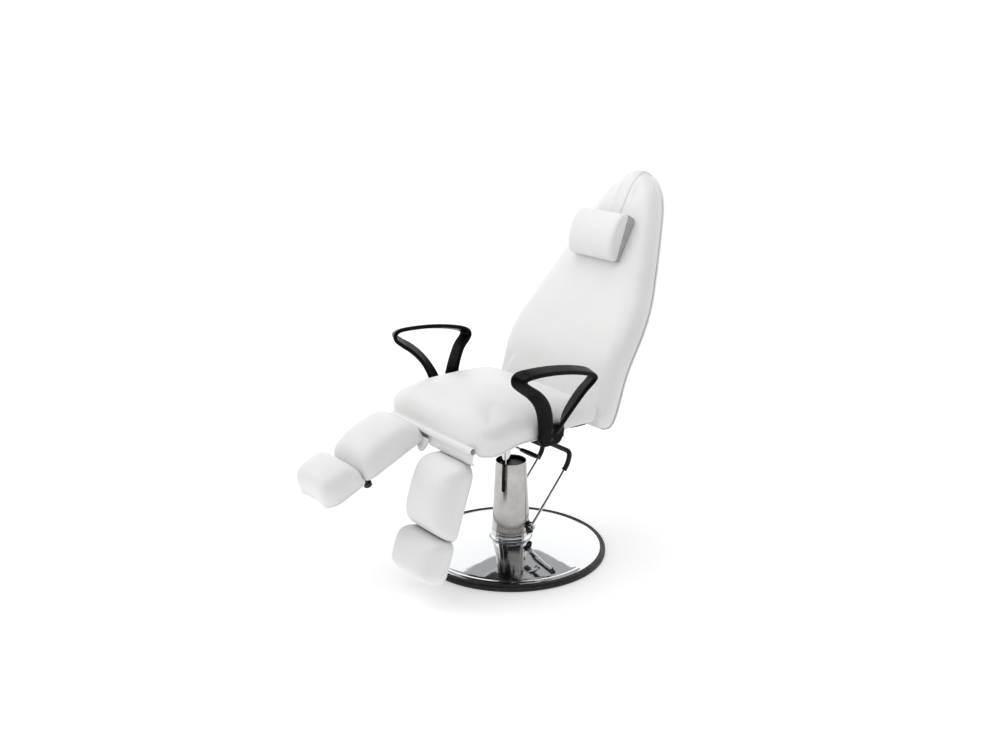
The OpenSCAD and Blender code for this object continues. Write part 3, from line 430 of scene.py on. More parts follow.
def tube(path, radius, widths=None, sides=24, closed=False):
    """A round bar along a path. Its ends are closed, and widths scale its radius from point to point."""
    curve = bpy.data.curves.new("bar", "CURVE")
    curve.dimensions, curve.use_fill_caps = "3D", True
    curve.bevel_depth, curve.bevel_resolution = radius, sides // 4 - 1
    line = curve.splines.new("POLY")
    line.points.add(len(path) - 1)
    for i, point in enumerate(path):
        line.points[i].co = (*point, 1)
        line.points[i].radius = widths[i] if widths else 1
    line.use_cyclic_u = closed
    holder = bpy.data.objects.new("bar", curve)
    scene.collection.objects.link(holder)
    bpy.context.view_layer.update()
    mesh = bpy.data.meshes.new_from_object(holder.evaluated_get(bpy.context.evaluated_depsgraph_get()))
    shape = bmesh.new()
    shape.from_mesh(mesh)
    bpy.data.objects.remove(holder)
    bmesh.ops.remove_doubles(shape, verts=shape.verts, dist=1e-4)
    bmesh.ops.recalc_face_normals(shape, faces=shape.faces)
    return shape


def joined(*shapes):
    """Several shapes as one."""
    whole = bmesh.new()
    for shape in shapes:
        part = bpy.data.meshes.new("part")
        shape.to_mesh(part)
        shape.free()
        whole.from_mesh(part)
        bpy.data.meshes.remove(part)
    return whole


def disc_x(x0, x1, y, z, r, sides=32, round_off=0.8):
    """A short round bar along X with its edges rounded off."""
    shape = bmesh.new()
    bmesh.ops.create_cone(shape, cap_ends=True, segments=sides, radius1=r, radius2=r, depth=x1 - x0)
    moved(swung(shape, math.pi / 2, "Y"), (x0 + x1) / 2, y, z)
    rims = [e for e in shape.edges if abs(e.verts[0].co.x - e.verts[1].co.x) < 1e-3]
    bmesh.ops.bevel(shape, geom=rims, offset=round_off, segments=3, profile=0.5, affect="EDGES", material=-1)
    return shape


eyes = [disc_x(s * LEVER_X - 6, s * LEVER_X + 6, 0, 0, 10) for s in (1, -1)]
rods = [tube([(s * LEVER_X, 6, 0), (s * LEVER_X, ROD_LEN, 0)], ROD_R) for s in (1, -1)]
piece("lever_rods", on_lever(joined(*eyes, *rods)), "pump_lever", chrome, ["lever_bar"])

turn = SLEEVE_ANGLE - LEVER_ANGLE
rise_y, rise_z = SLEEVE_RISE * math.cos(turn), SLEEVE_RISE * math.sin(turn)
half_path = [(LEVER_X, SLEEVE_START, 0), (LEVER_X, ROD_LEN, 0), (LEVER_X, ROD_LEN + rise_y, rise_z)]
sleeve_path = rounded(half_path + [(-x, y, z) for x, y, z in reversed(half_path)], SLEEVE_BEND, 10)
sleeve = on_lever(tube(sleeve_path, SLEEVE_R, sides=28))
lips = [tube([(s * LEVER_X, SLEEVE_START - 0.4, 0), (s * LEVER_X, SLEEVE_START + 4, 0)], SLEEVE_R + 0.6, sides=28)
        for s in (1, -1)]
piece("lever_grip_sleeve", joined(sleeve, on_lever(joined(*lips))), "pump_lever", rubber,
      ["lever_sleeve"])

SHAFT_HALF, WASHER_T, HEAD_T = 71, 1.5, 5.5
shaft_bar = disc_x(-SHAFT_HALF, SHAFT_HALF, SHAFT_Y, SHAFT_Z, 6)
finger = block((-5, 15, SHAFT_Z - 4), (5, SHAFT_Y, SHAFT_Z + 4))
piece("lever_axle", joined(shaft_bar, finger), "pump_lever", zinc, ["lever_shaft"])
screws = []
for s in (1, -1):
    near, middle, far = s * SHAFT_HALF, s * (SHAFT_HALF + WASHER_T), s * (SHAFT_HALF + WASHER_T + HEAD_T)
    screws += [disc_x(*sorted((near, middle)), SHAFT_Y, SHAFT_Z, 9, round_off=0.5),
               disc_x(*sorted((middle, far)), SHAFT_Y, SHAFT_Z, 6.5, sides=6, round_off=0.6)]
piece("lever_screws", joined(*screws), "pump_lever", chrome, ["lever_bolts"])

# --- Swivel hub ---------------------------------------------------------------------------------
# The turning head of the pump: a steel socket with four welded gussets under the plate that
# carries the seat rails. It is powder coated black.

HUB_R, HUB_LOW, PLATE_LOW, PLATE_HIGH = 24, 350, 443, 449
socket = turned([(RAM_R + 0.3, HUB_LOW), (HUB_R - 1.5, HUB_LOW), (HUB_R, HUB_LOW + 1.5), (HUB_R, PLATE_LOW + 1),
                 (RAM_R + 0.3, PLATE_LOW + 1)], 64)


def new_verts(grown):
    """The vertices that an extrusion has made."""
    return [v for v in grown["geom"] if isinstance(v, bmesh.types.BMVert)]


def prism(outline, depth):
    """A flat outline extruded along a vector."""
    shape = bmesh.new()
    face = shape.faces.new([shape.verts.new(point) for point in outline])
    bmesh.ops.translate(shape, vec=depth, verts=new_verts(bmesh.ops.extrude_face_region(shape, geom=[face])))
    bmesh.ops.recalc_face_normals(shape, faces=shape.faces)
    return shape


def softened(shape, round_off, segments=2):
    """Rounds off every edge of a shape."""
    bmesh.ops.bevel(shape, geom=shape.edges[:], offset=round_off, segments=segments, profile=0.5, affect="EDGES",
                    material=-1)
    return shape


rib = [(HUB_R - 2, -2.5, PLATE_LOW - 45), (HUB_R + 28, -2.5, PLATE_LOW - 6), (HUB_R + 28, -2.5, PLATE_LOW + 0.5),
       (HUB_R - 2, -2.5, PLATE_LOW + 0.5)]
gussets = [swung(prism(rib, (0, 5, 0)), math.radians(turn), "Z") for turn in (45, 135, 225, 315)]
plates = [softened(block((-122.5, -44, PLATE_LOW), (122.5, 54, PLATE_HIGH)), 1),
          softened(block((-97.5, -92, PLATE_LOW), (97.5, -42, PLATE_HIGH)), 1)]
piece("swivel_head", joined(moved(joined(socket, *gussets), 0, RAM_Y, 0), *plates), "seat", black_coat,
      ["swivel_hub"])

# --- Seat frame hardware ------------------------------------------------------------------------
# Black bolts hold the rails, the board and the arm brackets. The square tubes are closed by
# pushed-in plastic caps. The board is plywood stained black.

plastic = Finish("black_plastic", (0.02, 0.02, 0.022), 0.45)
plastic.set("Roughness", plastic.noise(70, 3).band(0.3, 0.7, 0.36, 0.5))
plastic.tint(plastic.noise(35, 3).band(0.5, 0.8), (0.016, 0.016, 0.018), (0.028, 0.028, 0.031))
plastic.bump(plastic.cells(1300), 0.00006)

plywood = Finish("stained_plywood", (0.02, 0.018, 0.016), 0.6)
plies = plywood.noise(1.0, 2, 0.5, at=plywood.stretched((6, 6, 420)))
grain = plywood.noise(1.0, 4, 0.65, at=plywood.stretched((180, 9, 180)))
plywood.tint((plies * 0.6 + grain * 0.5).band(0.35, 0.7), (0.012, 0.011, 0.010), (0.035, 0.030, 0.026))
plywood.set("Roughness", grain.band(0.3, 0.7, 0.5, 0.7))
plywood.bump(grain, 0.0002)
refinish(zinc, "recline_pins", "back_bolts")
refinish(black_coat, "frame_bolts")
refinish(plastic, "rail_caps")
refinish(plywood, "seat_board", "back_board", "calf_board_left", "calf_board_right", "foot_board_left",
         "foot_board_right")

# --- Leg rest axle ------------------------------------------------------------------------------
# One ground steel bar across the front of the seat frame carries both leg rests. Its ends are
# rounded off.

AXLE_Y, AXLE_Z, AXLE_HALF, AXLE_R = -253, 449, 197, 10
axle = disc_x(-AXLE_HALF, AXLE_HALF, AXLE_Y, AXLE_Z, AXLE_R, sides=48, round_off=1.2)
piece("leg_axle_bar", axle, "seat", zinc, ["leg_axle"])

# --- Gas strut ----------------------------------------------------------------------------------
# A locking gas strut holds the back. Its black cylinder swings on the seat and its chromed rod is
# pulled by the crank of the back's frame through a slotted end.

STRUT_X, STRUT_Y, STRUT_Z = -60, -70, 405
HINGE_Y, HINGE_Z, CRANK = 195, 424, 45
crank_turn = math.radians(29)
pin_y, pin_z = HINGE_Y + CRANK * math.sin(crank_turn), HINGE_Z - CRANK * math.cos(crank_turn)
strut_pitch = math.atan2(pin_z - STRUT_Z, pin_y - STRUT_Y)
strut_span = math.hypot(pin_z - STRUT_Z, pin_y - STRUT_Y)


def on_strut(shape):
    """Moves a shape drawn along +Y from the strut's front pivot to the strut's place."""
    return moved(swung(shape, strut_pitch, "X"), STRUT_X, STRUT_Y, STRUT_Z)


def lathe_y(profile, steps=48, closed=False):
    """A shape turned round the Y axis from (radius, place along Y) points."""
    return swung(turned(profile, steps, closed), -math.pi / 2, "X")


cylinder = lathe_y([(0, 6), (6, 6), (6, 22), (10, 22), (11, 23), (11, 166), (10.4, 168), (9, 170), (4.3, 170),
                    (4.3, 168), (0, 168)])
piece("strut_tube", on_strut(joined(cylinder, disc_x(-5, 5, 0, 0, 8.5))), "strut_cylinder", black_coat,
      ["gas_cylinder"])
rod = lathe_y([(0, 140), (4, 140), (4, strut_span - 9), (0, strut_span - 9)], 32)
dip = CRANK * (1 - math.cos(crank_turn))
rod_end = softened(block((-3, strut_span - 10, -dip - 10), (3, strut_span + 10, 10)), 1.5)
strut_rod = piece("strut_piston", on_strut(joined(rod, rod_end)), "strut_rod", chrome, ["gas_rod"])
SLOT_HALF = 4.6
slot_ends = [disc_x(-6, 6, strut_span, z, SLOT_HALF, round_off=0.01) for z in (0, -dip)]
slot_middle = block((-6, strut_span - SLOT_HALF, -dip), (6, strut_span + SLOT_HALF, 0))
cut(strut_rod, *[on_strut(shape) for shape in (*slot_ends, slot_middle)])

# --- Release lever ------------------------------------------------------------------------------
# A chromed wire lever under the sitter's left side unlocks the strut. It ends in a flattened, tapered
# grip of black plastic.

RELEASE_X, RELEASE_Y, RELEASE_Z = 80, -60, 387
release_boss = lathe_y([(3.2, -7), (6.8, -7), (7.5, -6.3), (7.5, 6.3), (6.8, 7), (3.2, 7)], 40)
release_wire = tube([(4, 0, 0), (60, 0, 0)], 4)
lever = moved(joined(release_boss, release_wire), RELEASE_X, RELEASE_Y, RELEASE_Z)
piece("release_wire", lever, "release_lever", chrome, ["release_rod"])
grip_at = [0, 1.2, 3, 6, 12, 14, 16, 30, 46, 60, 70, 76, 79.5, 81]
grip_wide = [0.6, 0.72, 0.8, 0.82, 0.84, 0.7, 0.9, 1.0, 1.0, 0.97, 0.9, 0.78, 0.5, 0.12]
grip = tube([(x, 0, 0) for x in grip_at], 9.5, grip_wide, sides=32)
bmesh.ops.scale(grip, vec=(1, 1, 0.72), verts=grip.verts)
moved(grip, RELEASE_X + 44, RELEASE_Y, RELEASE_Z)
piece("release_paddle", grip, "release_lever", plastic, ["release_grip"])

# --- Armrests -----------------------------------------------------------------------------------
# Each armrest is one injection moulding in black nylon: a blade that rises from a foot plate, turns
# over into a flat top bar, and comes down again. It is bolted to the seat frame's bracket.

SEAT_Z, SEAT_HALF = 474, 252
ARM_FOOT_X, ARM_REACH, BLADE_W, BLADE_T, ARM_FOOT_T = 270, 309, 46, 13, 16
ARM_PATH = [(-88, -6), (-92, 32), (-104, 72), (-126, 112), (-158, 146), (-194, 172), (-216, 190), (-217, 204),
            (-198, 211), (-150, 212), (-90, 208), (-30, 199), (20, 187), (45, 177), (54, 166), (48, 153), (20, 127),
            (-6, 88), (-23, 54), (-34, 20), (-42, -6)]
ARM_TURN = [88, 72, 56, 44, 36, 30, 27, 24, 20, 15, 14, 14, 15, 14, 12, 11, 11, 15, 26, 54, 88]
ARM_FOOT = [(-112, 12), (-114, -6), (-108, -20), (-96, -28), (-48, -28), (-34, -20), (-25, -4), (-22, 12), (-30, 30),
            (-62, 34), (-104, 30)]

nylon = Finish("black_nylon", (0.002, 0.002, 0.003), 0.3, specular_ior_level=0.09)
nylon.set("Roughness", nylon.noise(40, 3).band(0.3, 0.7, 0.24, 0.36))
nylon.tint(nylon.noise(18, 4, 0.6).band(0.5, 0.85), (0.002, 0.002, 0.003), (0.005, 0.005, 0.006))
nylon.bump(nylon.cells(1500), 0.00004, under=nylon.bump(nylon.noise(9, 2), 0.0006))


def flowing(points, steps):
    """A smooth curve through points, as vectors."""
    points = [Vector(p) for p in points]
    ends = [points[0]] + points + [points[-1]]
    flow = []
    for p0, p1, p2, p3 in zip(ends, ends[1:], ends[2:], ends[3:]):
        for k in range(steps):
            t = k / steps
            flow.append(0.5 * (2 * p1 + (p2 - p0) * t + (2 * p0 - 5 * p1 + 4 * p2 - p3) * t * t
                               + (3 * p1 - p0 - 3 * p2 + p3) * t ** 3))
    return flow + [points[-1]]


def rounded_section(a, b, r, n=5):
    """The outline of a blade's section, half as wide as a and half as thick as b."""
    corners = [(a - r, b - r, 0), (r - a, b - r, 90), (r - a, r - b, 180), (a - r, r - b, 270)]
    return [p for x, y, first in corners for p in arc(x, y, r, first, first + 90, n)]


def armrest():
    """The left armrest: its blade bridged from section to section, and its foot plate."""
    path = flowing([(y, z, t) for (y, z), t in zip(ARM_PATH, ARM_TURN)], 6)
    section = rounded_section(BLADE_W / 2, BLADE_T / 2, 5.2)
    blade = bmesh.new()
    rings = []
    for i, at in enumerate(path):
        ahead = path[min(i + 1, len(path) - 1)] - path[max(i - 1, 0)]
        along = Vector((ahead.x, ahead.y)).normalized()
        out = Vector((0, along.y, -along.x))
        swing = math.radians(at.z)
        wide = Vector((math.cos(swing), 0, 0)) + out * math.sin(swing)
        thick = Vector((math.sin(swing), 0, 0)) - out * math.cos(swing)
        rise = max(0, min(1, (at.y + 10) / 200))
        reach = ARM_FOOT_X + (ARM_REACH - ARM_FOOT_X) * (3 * rise ** 2 - 2 * rise ** 3)
        centre = Vector((reach, at.x, SEAT_Z + at.y))
        ring = [blade.verts.new(centre + wide * u + thick * v) for u, v in section]
        rings.append([blade.edges.new(pair) for pair in zip(ring, ring[1:] + ring[:1])])
    for one, two in zip(rings, rings[1:]):
        bmesh.ops.bridge_loops(blade, edges=one + two)
    bmesh.ops.holes_fill(blade, edges=[e for e in blade.edges if e.is_boundary], sides=0)
    bmesh.ops.recalc_face_normals(blade, faces=blade.faces)
    inner_face = [(ARM_FOOT_X - ARM_FOOT_T / 2, p.x, SEAT_Z + p.y) for p in flowing(ARM_FOOT + ARM_FOOT[:1], 4)[:-1]]
    return joined(blade, prism(inner_face, (ARM_FOOT_T, 0, 0)))


def remeshed(made, voxel, smoothing, sharp=35):
    """Rebuilds a piece's mesh as one skin with its inner corners and edges eased."""
    voxels = made.modifiers.new("one_skin", "REMESH")
    voxels.mode, voxels.voxel_size = "VOXEL", voxel * MM
    ease = made.modifiers.new("ease", "SMOOTH")
    ease.factor, ease.iterations = 0.5, smoothing
    apply_modifiers(made, sharp)


left_arm = piece("armrest_loop_left", armrest(), "seat", nylon, ["armrest_left"])
remeshed(left_arm, 2.4, 9, sharp=60)
cut(left_arm, block((230, -115, 440), (ARM_FOOT_X - ARM_FOOT_T / 2 + 0.1, -20, 512)),
    *[disc_x(ARM_FOOT_X + 3, ARM_FOOT_X + 20, -70, z, 6.6) for z in (464, 490)])
right_mesh = bmesh.new()
right_mesh.from_mesh(left_arm.data)
bmesh.ops.scale(right_mesh, vec=(-1 / MM, 1 / MM, 1 / MM), verts=right_mesh.verts)
bmesh.ops.reverse_faces(right_mesh, faces=right_mesh.faces)
piece("armrest_loop_right", right_mesh, "seat", nylon, ["armrest_right"], sharp=60)

# --- Seat cushion -------------------------------------------------------------------------------
# A moulded foam block on the seat board, crowned from side to side and rolled over at the front. It
# is upholstered in taut white vinyl, whose cover is stapled under the board.

vinyl = Finish("white_vinyl", (0.84, 0.84, 0.835), 0.42)
leather_grain = vinyl.cells(1050, "SMOOTH_F1")
creases = vinyl.noise(1.0, 4, 0.55, at=vinyl.stretched((75, 75, 75)))
vinyl.set("Roughness", vinyl.noise(55, 3).band(0.3, 0.7, 0.37, 0.48))
vinyl.tint(vinyl.noise(7, 4, 0.6).band(0.35, 0.75), (0.86, 0.86, 0.855), (0.825, 0.825, 0.82))
vinyl.bump(leather_grain, 0.00007, under=vinyl.bump(creases, 0.00035))


def padding(cells):
    """A cube from -1 to 1 with a number of cells along each axis."""
    shape = bmesh.new()
    bmesh.ops.create_cube(shape, size=2)
    for axis, count in enumerate(cells):
        along = [e for e in shape.edges if abs(e.verts[0].co[axis] - e.verts[1].co[axis]) > 1]
        bmesh.ops.subdivide_edges(shape, edges=along, cuts=count - 1, use_grid_fill=True)
    return shape


def finer_ends(t, share=0.28):
    """Moves an evenly spaced point between -1 and 1 so that the points near the ends lie closer."""
    return t * (1 + share - share * t * t)


def rounded_plan(x, y, half_x, half_y, corner):
    """A point of a rectangle once its corners are rounded off, and how far inside the outline it lies."""
    dx, dy = abs(x) - (half_x - corner), abs(y) - (half_y - corner)
    if dx <= 0 or dy <= 0:
        return x, y, min(half_x - abs(x), half_y - abs(y))
    square = max(dx, dy)
    share = square / math.hypot(dx, dy)
    return (math.copysign(half_x - corner + dx * share, x), math.copysign(half_y - corner + dy * share, y),
            corner - square)


def table(points, at):
    """A value between the entries of a table of (place, value) pairs."""
    for (p, v), (q, w) in zip(points, points[1:]):
        if at <= q:
            return v + (w - v) * max(0, at - p) / (q - p)
    return points[-1][1]


def plumped(made, held, cap):
    """Swells a closed cushion with a short cloth simulation, and keeps each point within a cap of its place.

    held says which points, given in millimetres, stay where they are.
    """
    rest = [v.co.copy() for v in made.data.vertices]
    group = made.vertex_groups.new(name="held")
    group.add([i for i, co in enumerate(rest) if held(co / MM)], 1.0, "REPLACE")
    cloth = made.modifiers.new("cloth", "CLOTH")
    fabric = cloth.settings
    fabric.quality, fabric.mass, fabric.air_damping = 5, 0.4, 2.0
    fabric.tension_stiffness = fabric.compression_stiffness = 25
    fabric.shear_stiffness, fabric.bending_stiffness = 12, 6
    fabric.use_pressure, fabric.uniform_pressure_force = True, 4.0
    fabric.vertex_group_mass = "held"
    fabric.effector_weights.gravity = 0
    cloth.point_cache.frame_start, cloth.point_cache.frame_end = 1, 20
    for number in range(1, 21):
        scene.frame_set(number)
    apply_modifiers(made, 180)
    for v, co in zip(made.data.vertices, rest):
        step = v.co - co
        if step.length > cap * MM:
            v.co = co + step.normalized() * cap * MM
    made.vertex_groups.clear()
    scene.frame_set(1)


def soft(name, shape, body, node, held, cap, fill):
    """An upholstered piece: swollen by the simulation, then smoothed by one subdivision."""
    made = piece(name, shape, None, vinyl, sharp=180)
    plumped(made, held, cap)
    finer = made.modifiers.new("finer", "SUBSURF")
    finer.levels = finer.render_levels = 1
    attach(made, body)
    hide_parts(node)
    return made


SEAT_FRONT, SEAT_CROWN, SEAT_REAR, SEAT_DEPTH, SEAT_CORNER = -300, 104, 119, 440, 76
CROWN_DEPTH = [(0, 0.30), (0.012, 0.46), (0.04, 0.66), (0.1, 0.84), (0.2, 0.95), (0.38, 1), (0.55, 0.97),
               (0.68, 0.89), (0.8, 0.76), (0.9, 0.57), (0.97, 0.4), (1.04, 0.33)]
CROWN_SIDE = [(0, 1), (0.2, 0.985), (0.4, 0.93), (0.6, 0.85), (0.76, 0.76), (0.88, 0.66), (0.95, 0.56), (0.99, 0.43),
              (1.01, 0.36)]
CROWN_DEPTH, CROWN_SIDE = flowing(CROWN_DEPTH, 6), flowing(CROWN_SIDE, 6)
BACK_LEAN = math.radians(28)
TUCK, LIP, SIDE_LIP, CORNER_LIP = 13, 4, 8, 20


def seat_lip(x, y):
    """How far the cushion hangs below the board's underside.

    It hangs further at its sides than over the leg rests, and furthest at its front corners.
    """
    side = min(1, max(0, (abs(x) - 188) / 32))
    rear_fade, corner = min(1, max(0, (20 - y) / 80)), min(1, max(0, (-165 - y) / 90))
    return (LIP + SIDE_LIP * side) * rear_fade + CORNER_LIP * side * corner


def eased(shape, height, passes):
    """Smooths the points of a shape above a height."""
    for _ in range(passes):
        bmesh.ops.smooth_vert(shape, verts=[v for v in shape.verts if v.co.z > height], factor=0.5,
                              use_axis_x=True, use_axis_y=True, use_axis_z=True)
    return shape


def seat_cushion():
    """The cushion's block, each point of it put on the crowned shape."""
    shape = padding((62, 56, 8))
    half_y = (SEAT_REAR - SEAT_FRONT) / 2
    for v in shape.verts:
        a, b, c = v.co
        corner = SEAT_CORNER if b < 0 else 30
        x, y, edge = rounded_plan(finer_ends(a) * SEAT_HALF, finer_ends(b) * half_y, SEAT_HALF, half_y, corner)
        y += (SEAT_REAR + SEAT_FRONT) / 2
        low_depth = max(0, 1 - table(CROWN_DEPTH, (y - SEAT_FRONT) / SEAT_DEPTH))
        low_side = max(0, 1 - table(CROWN_SIDE, abs(x) / SEAT_HALF))
        crown = SEAT_CROWN * (1 - (low_depth ** 3 + low_side ** 3) ** (1 / 3))
        round_off = 22
        if edge < round_off:
            crown -= 7 * (1 - math.sqrt(1 - (1 - edge / round_off) ** 2))
        front_corner = max(0, (abs(x) - 140) / 112) * max(0, (-y - 190) / 110)
        crown = max(crown - 34 * front_corner, 24)
        lip = seat_lip(x, y)
        if c > 0.999:
            z = crown
        elif c < -0.999:
            z = TUCK if edge > TUCK else -lip
        else:
            z = crown * (c + 1) / 2 - lip * (1 - c) / 2
        rear = max(0, b) ** 3
        lean = (z - 8) * math.tan(BACK_LEAN)
        beside = max(0, min(1, (abs(x) - 185) / 55))
        v.co = (x, y + rear * (lean - 10 + 24 * beside * beside), SEAT_Z + z)
    return eased(shape, SEAT_Z + 6, 3)


soft("seat_pad", seat_cushion(), "seat", "seat_cushion", lambda co: co.z < SEAT_Z + 14, 4, 0.85)

seat_side = [(SEAT_HALF + 0.5, y) for y in range(-212, -59, 8)]
seat_hem = [(-x, y) for x, y in reversed(seat_side)]
for s, first in ((-1, 180), (1, 270)):
    seat_hem += arc(s * (SEAT_HALF - SEAT_CORNER), SEAT_FRONT + SEAT_CORNER, SEAT_CORNER + 0.5, first, first + 90, 10)
seat_welt = [(x, y, SEAT_Z - seat_lip(x, y) + 4) for x, y in seat_hem + seat_side]
piece("seat_pad_welt", tube(seat_welt, 2.0, sides=12), "seat", vinyl)

# --- Backrest -----------------------------------------------------------------------------------
# A tall tapered board padded with foam and covered in one piece of white vinyl, soft at the front
# and square at the rear. It bows forward to fill the small of the back.

BACK_Y, BACK_Z, BACK_HALF, BACK_LEN, BACK_T, COVER_T = 145, 444, 261, 808, 74, 4
BACK_SHAPE = [(0, 0.87), (0.012, 0.955), (0.04, 0.995), (0.1, 1), (0.24, 1), (0.35, 0.978), (0.47, 0.904),
              (0.6, 0.774), (0.72, 0.646), (0.804, 0.548), (0.866, 0.471), (0.916, 0.383), (0.953, 0.28),
              (0.978, 0.184), (1, 0.046)]
BACK_SHAPE = flowing(BACK_SHAPE, 6)
BOW = [(-60, 0), (0, 0), (60, 3), (110, 11.5), (160, 21), (205, 23.5), (250, 20.5), (300, 14), (350, 7), (400, 2.5),
       (440, 0), (520, 0), (900, 0)]
BOW = [(z, max(0, y)) for z, y in flowing(BOW, 6)]


def on_back(shape):
    """Moves a shape drawn with +Z up the backrest and +Y to its rear to the backrest's place."""
    return moved(swung(shape, -BACK_LEAN, "X"), 0, BACK_Y, BACK_Z)


def back_outline(margin=0.0):
    """The right half of the backrest's outline from its foot to its top, as (half width, height) points."""
    return [(max(5, w * BACK_HALF - margin), margin + s * (BACK_LEN - 2 * margin)) for s, w in BACK_SHAPE]


def fullness(distance, radius):
    """How far a quarter round falls at a distance inside its edge."""
    if distance >= radius:
        return 0.0
    return radius * (1 - math.sqrt(max(0, 1 - (1 - distance / radius) ** 2)))


outline = back_outline()
rim = [Vector((s * (x + (q - x) * k / 6), 0, z + (r - z) * k / 6))
       for s in (1, -1) for (x, z), (q, r) in zip(outline, outline[1:]) for k in range(6)]
rim += [Vector((x, 0, 0)) for x in range(-228, 229, 3)] + [Vector((x, 0, BACK_LEN)) for x in range(-12, 13, 2)]
rim_tree = KDTree(len(rim))
for number, point in enumerate(rim):
    rim_tree.insert(point, number)
rim_tree.balance()


def back_block(cells, front, rear, margin=0.0):
    """A layer of the backrest. front and rear give the depth of its faces at a distance from the outline."""
    shape = padding(cells)
    widths = [(z, x) for x, z in back_outline(margin)]
    for v in shape.verts:
        a, b, c = v.co
        z = margin + (finer_ends(c, 0.3) + 1) / 2 * (BACK_LEN - 2 * margin)
        x = finer_ends(a) * table(widths, z)
        edge = rim_tree.find(Vector((x, 0, z)))[2] if max(abs(a), abs(c)) < 0.999 else 0.0
        y = front(edge) + (rear(edge) - front(edge)) * (b + 1) / 2
        v.co = (x, y - table(BOW, z), z)
    return on_back(shape)


def back_front(edge):
    """The depth of the cushion's front at a distance inside the outline."""
    return -BACK_T / 2 + fullness(edge, 37) + 6 * max(0, 1 - edge / 95) ** 2


def back_rear(edge):
    """The depth of its rear."""
    return BACK_T / 2 - COVER_T - fullness(edge, 8)


BACK_PLANE = Vector((0, math.cos(BACK_LEAN), -math.sin(BACK_LEAN)))


def back_depth(co):
    """How far to the rear of the backrest's middle plane a point lies."""
    return (co - Vector((0, BACK_Y, BACK_Z))).dot(BACK_PLANE)


back_pad = soft("back_pad", back_block((52, 8, 84), back_front, back_rear), "back", "back_cushion",
                lambda co: back_depth(co) > 2, 3.5, 0.85)

cover = back_block((52, 2, 84), lambda edge: BACK_T / 2 - COVER_T - 1,
                   lambda edge: BACK_T / 2 - 0.6 - fullness(edge, 5) * 0.6, 2.0)
piece("back_panel", cover, "back", vinyl, ["back_cover"], sharp=60)
half_welt = [(x, BACK_T / 2 - 4.5 - table(BOW, z), z) for x, z in back_outline(0.5)]
welt = half_welt + [(-x, y, z) for x, y, z in reversed(half_welt)]
piece("back_panel_welt", on_back(tube(welt, 2.6, sides=12, closed=True)), "back", vinyl)

# --- Headrest strap -----------------------------------------------------------------------------
# A doubled vinyl strap carries the head pillow. It runs up the front, over the top of the backrest
# and down its rear, with a row of stitches along each edge.

STRAP_HALF, STRAP_T, PILLOW_MID, PILLOW_HALF = 24, 2.2, 564, 73
strap_line = flowing([(-41, 505), (-41, 600), (-41, 700), (-38, 756), (-26, 792), (-8, 808.5), (14, 811),
                      (32, 808), (41, 790), (41.5, 740), (41.5, 690), (41.5, 640)], 7)
strap = bmesh.new()
bmesh.ops.create_grid(strap, x_segments=8, y_segments=len(strap_line) - 1, size=1)
for v in strap.verts:
    y, z = strap_line[round((v.co.y + 1) / 2 * (len(strap_line) - 1))]
    v.co = (v.co.x * STRAP_HALF, y, z)
strap_piece = piece("pillow_strap", on_back(strap), None, vinyl, ["headrest_strap"], sharp=40)
wrap = strap_piece.modifiers.new("lie_on_pad", "SHRINKWRAP")
wrap.target, wrap.offset = back_pad, STRAP_T / 2 * MM
wrap.wrap_method, wrap.wrap_mode = "NEAREST_SURFACEPOINT", "OUTSIDE_SURFACE"
apply_modifiers(strap_piece, 40)
rows = [[v.co / MM for v in strap_piece.data.vertices if v.index % 9 == column] for column in range(9)]
thick = strap_piece.modifiers.new("doubled", "SOLIDIFY")
thick.thickness, thick.offset = STRAP_T * MM, 0.0
apply_modifiers(strap_piece, 40)
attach(strap_piece, "back")

threads = []
for row in (rows[1], rows[7]):
    lifted = []
    for i, co in enumerate(row):
        along = row[min(i + 1, len(row) - 1)] - row[max(i - 1, 0)]
        lifted.append(co + (rows[8][i] - rows[0][i]).cross(along).normalized() * (STRAP_T / 2 + 0.2))
    line = []
    for p, q in zip(lifted, lifted[1:]):
        count = max(1, round((q - p).length))
        line += [p + (q - p) * k / count for k in range(count)]
    threads.append(tube(line, 0.6, [1 if i % 6 < 5 else 0.2 for i in range(len(line))], sides=8))
piece("strap_stitches", joined(*threads), "back", vinyl)

# --- Head pillow --------------------------------------------------------------------------------
# A D-shaped foam roll in white vinyl on a wedge of firm foam, whose mid grey is painted shade: the shadow
# the pillow casts in the gap against the backrest. Its ends are closed by round panels, set in with a welt
# that puckers the vinyl a little.

# The wedge's grey is painted shade, standing for the pillow's shadow in the gap against the backrest.
grey_foam = Finish("grey_foam", (0.44, 0.44, 0.45), 0.8)
grey_foam.set("Roughness", grey_foam.noise(150, 2).band(0.3, 0.7, 0.72, 0.88))
grey_foam.tint(grey_foam.noise(60, 3).band(0.3, 0.7), (0.41, 0.41, 0.42), (0.47, 0.47, 0.48))
grey_foam.bump(grey_foam.cells(1400), 0.0001)

PILLOW_W, PILLOW_T, WEDGE_LOW, WEDGE_HIGH = 100, 43, 13, 36
PILLOW_REAR = -BACK_T / 2 - 2.9
seam_low = Vector((0, PILLOW_REAR - WEDGE_LOW, PILLOW_MID - PILLOW_HALF))
seam_high = Vector((0, PILLOW_REAR - WEDGE_HIGH, PILLOW_MID + PILLOW_HALF))
pillow_up = (seam_high - seam_low).normalized()
pillow_out = Vector((0, -pillow_up.z, pillow_up.y))
pillow_centre = (seam_low + seam_high) / 2
pillow_reach = (seam_high - seam_low).length / 2


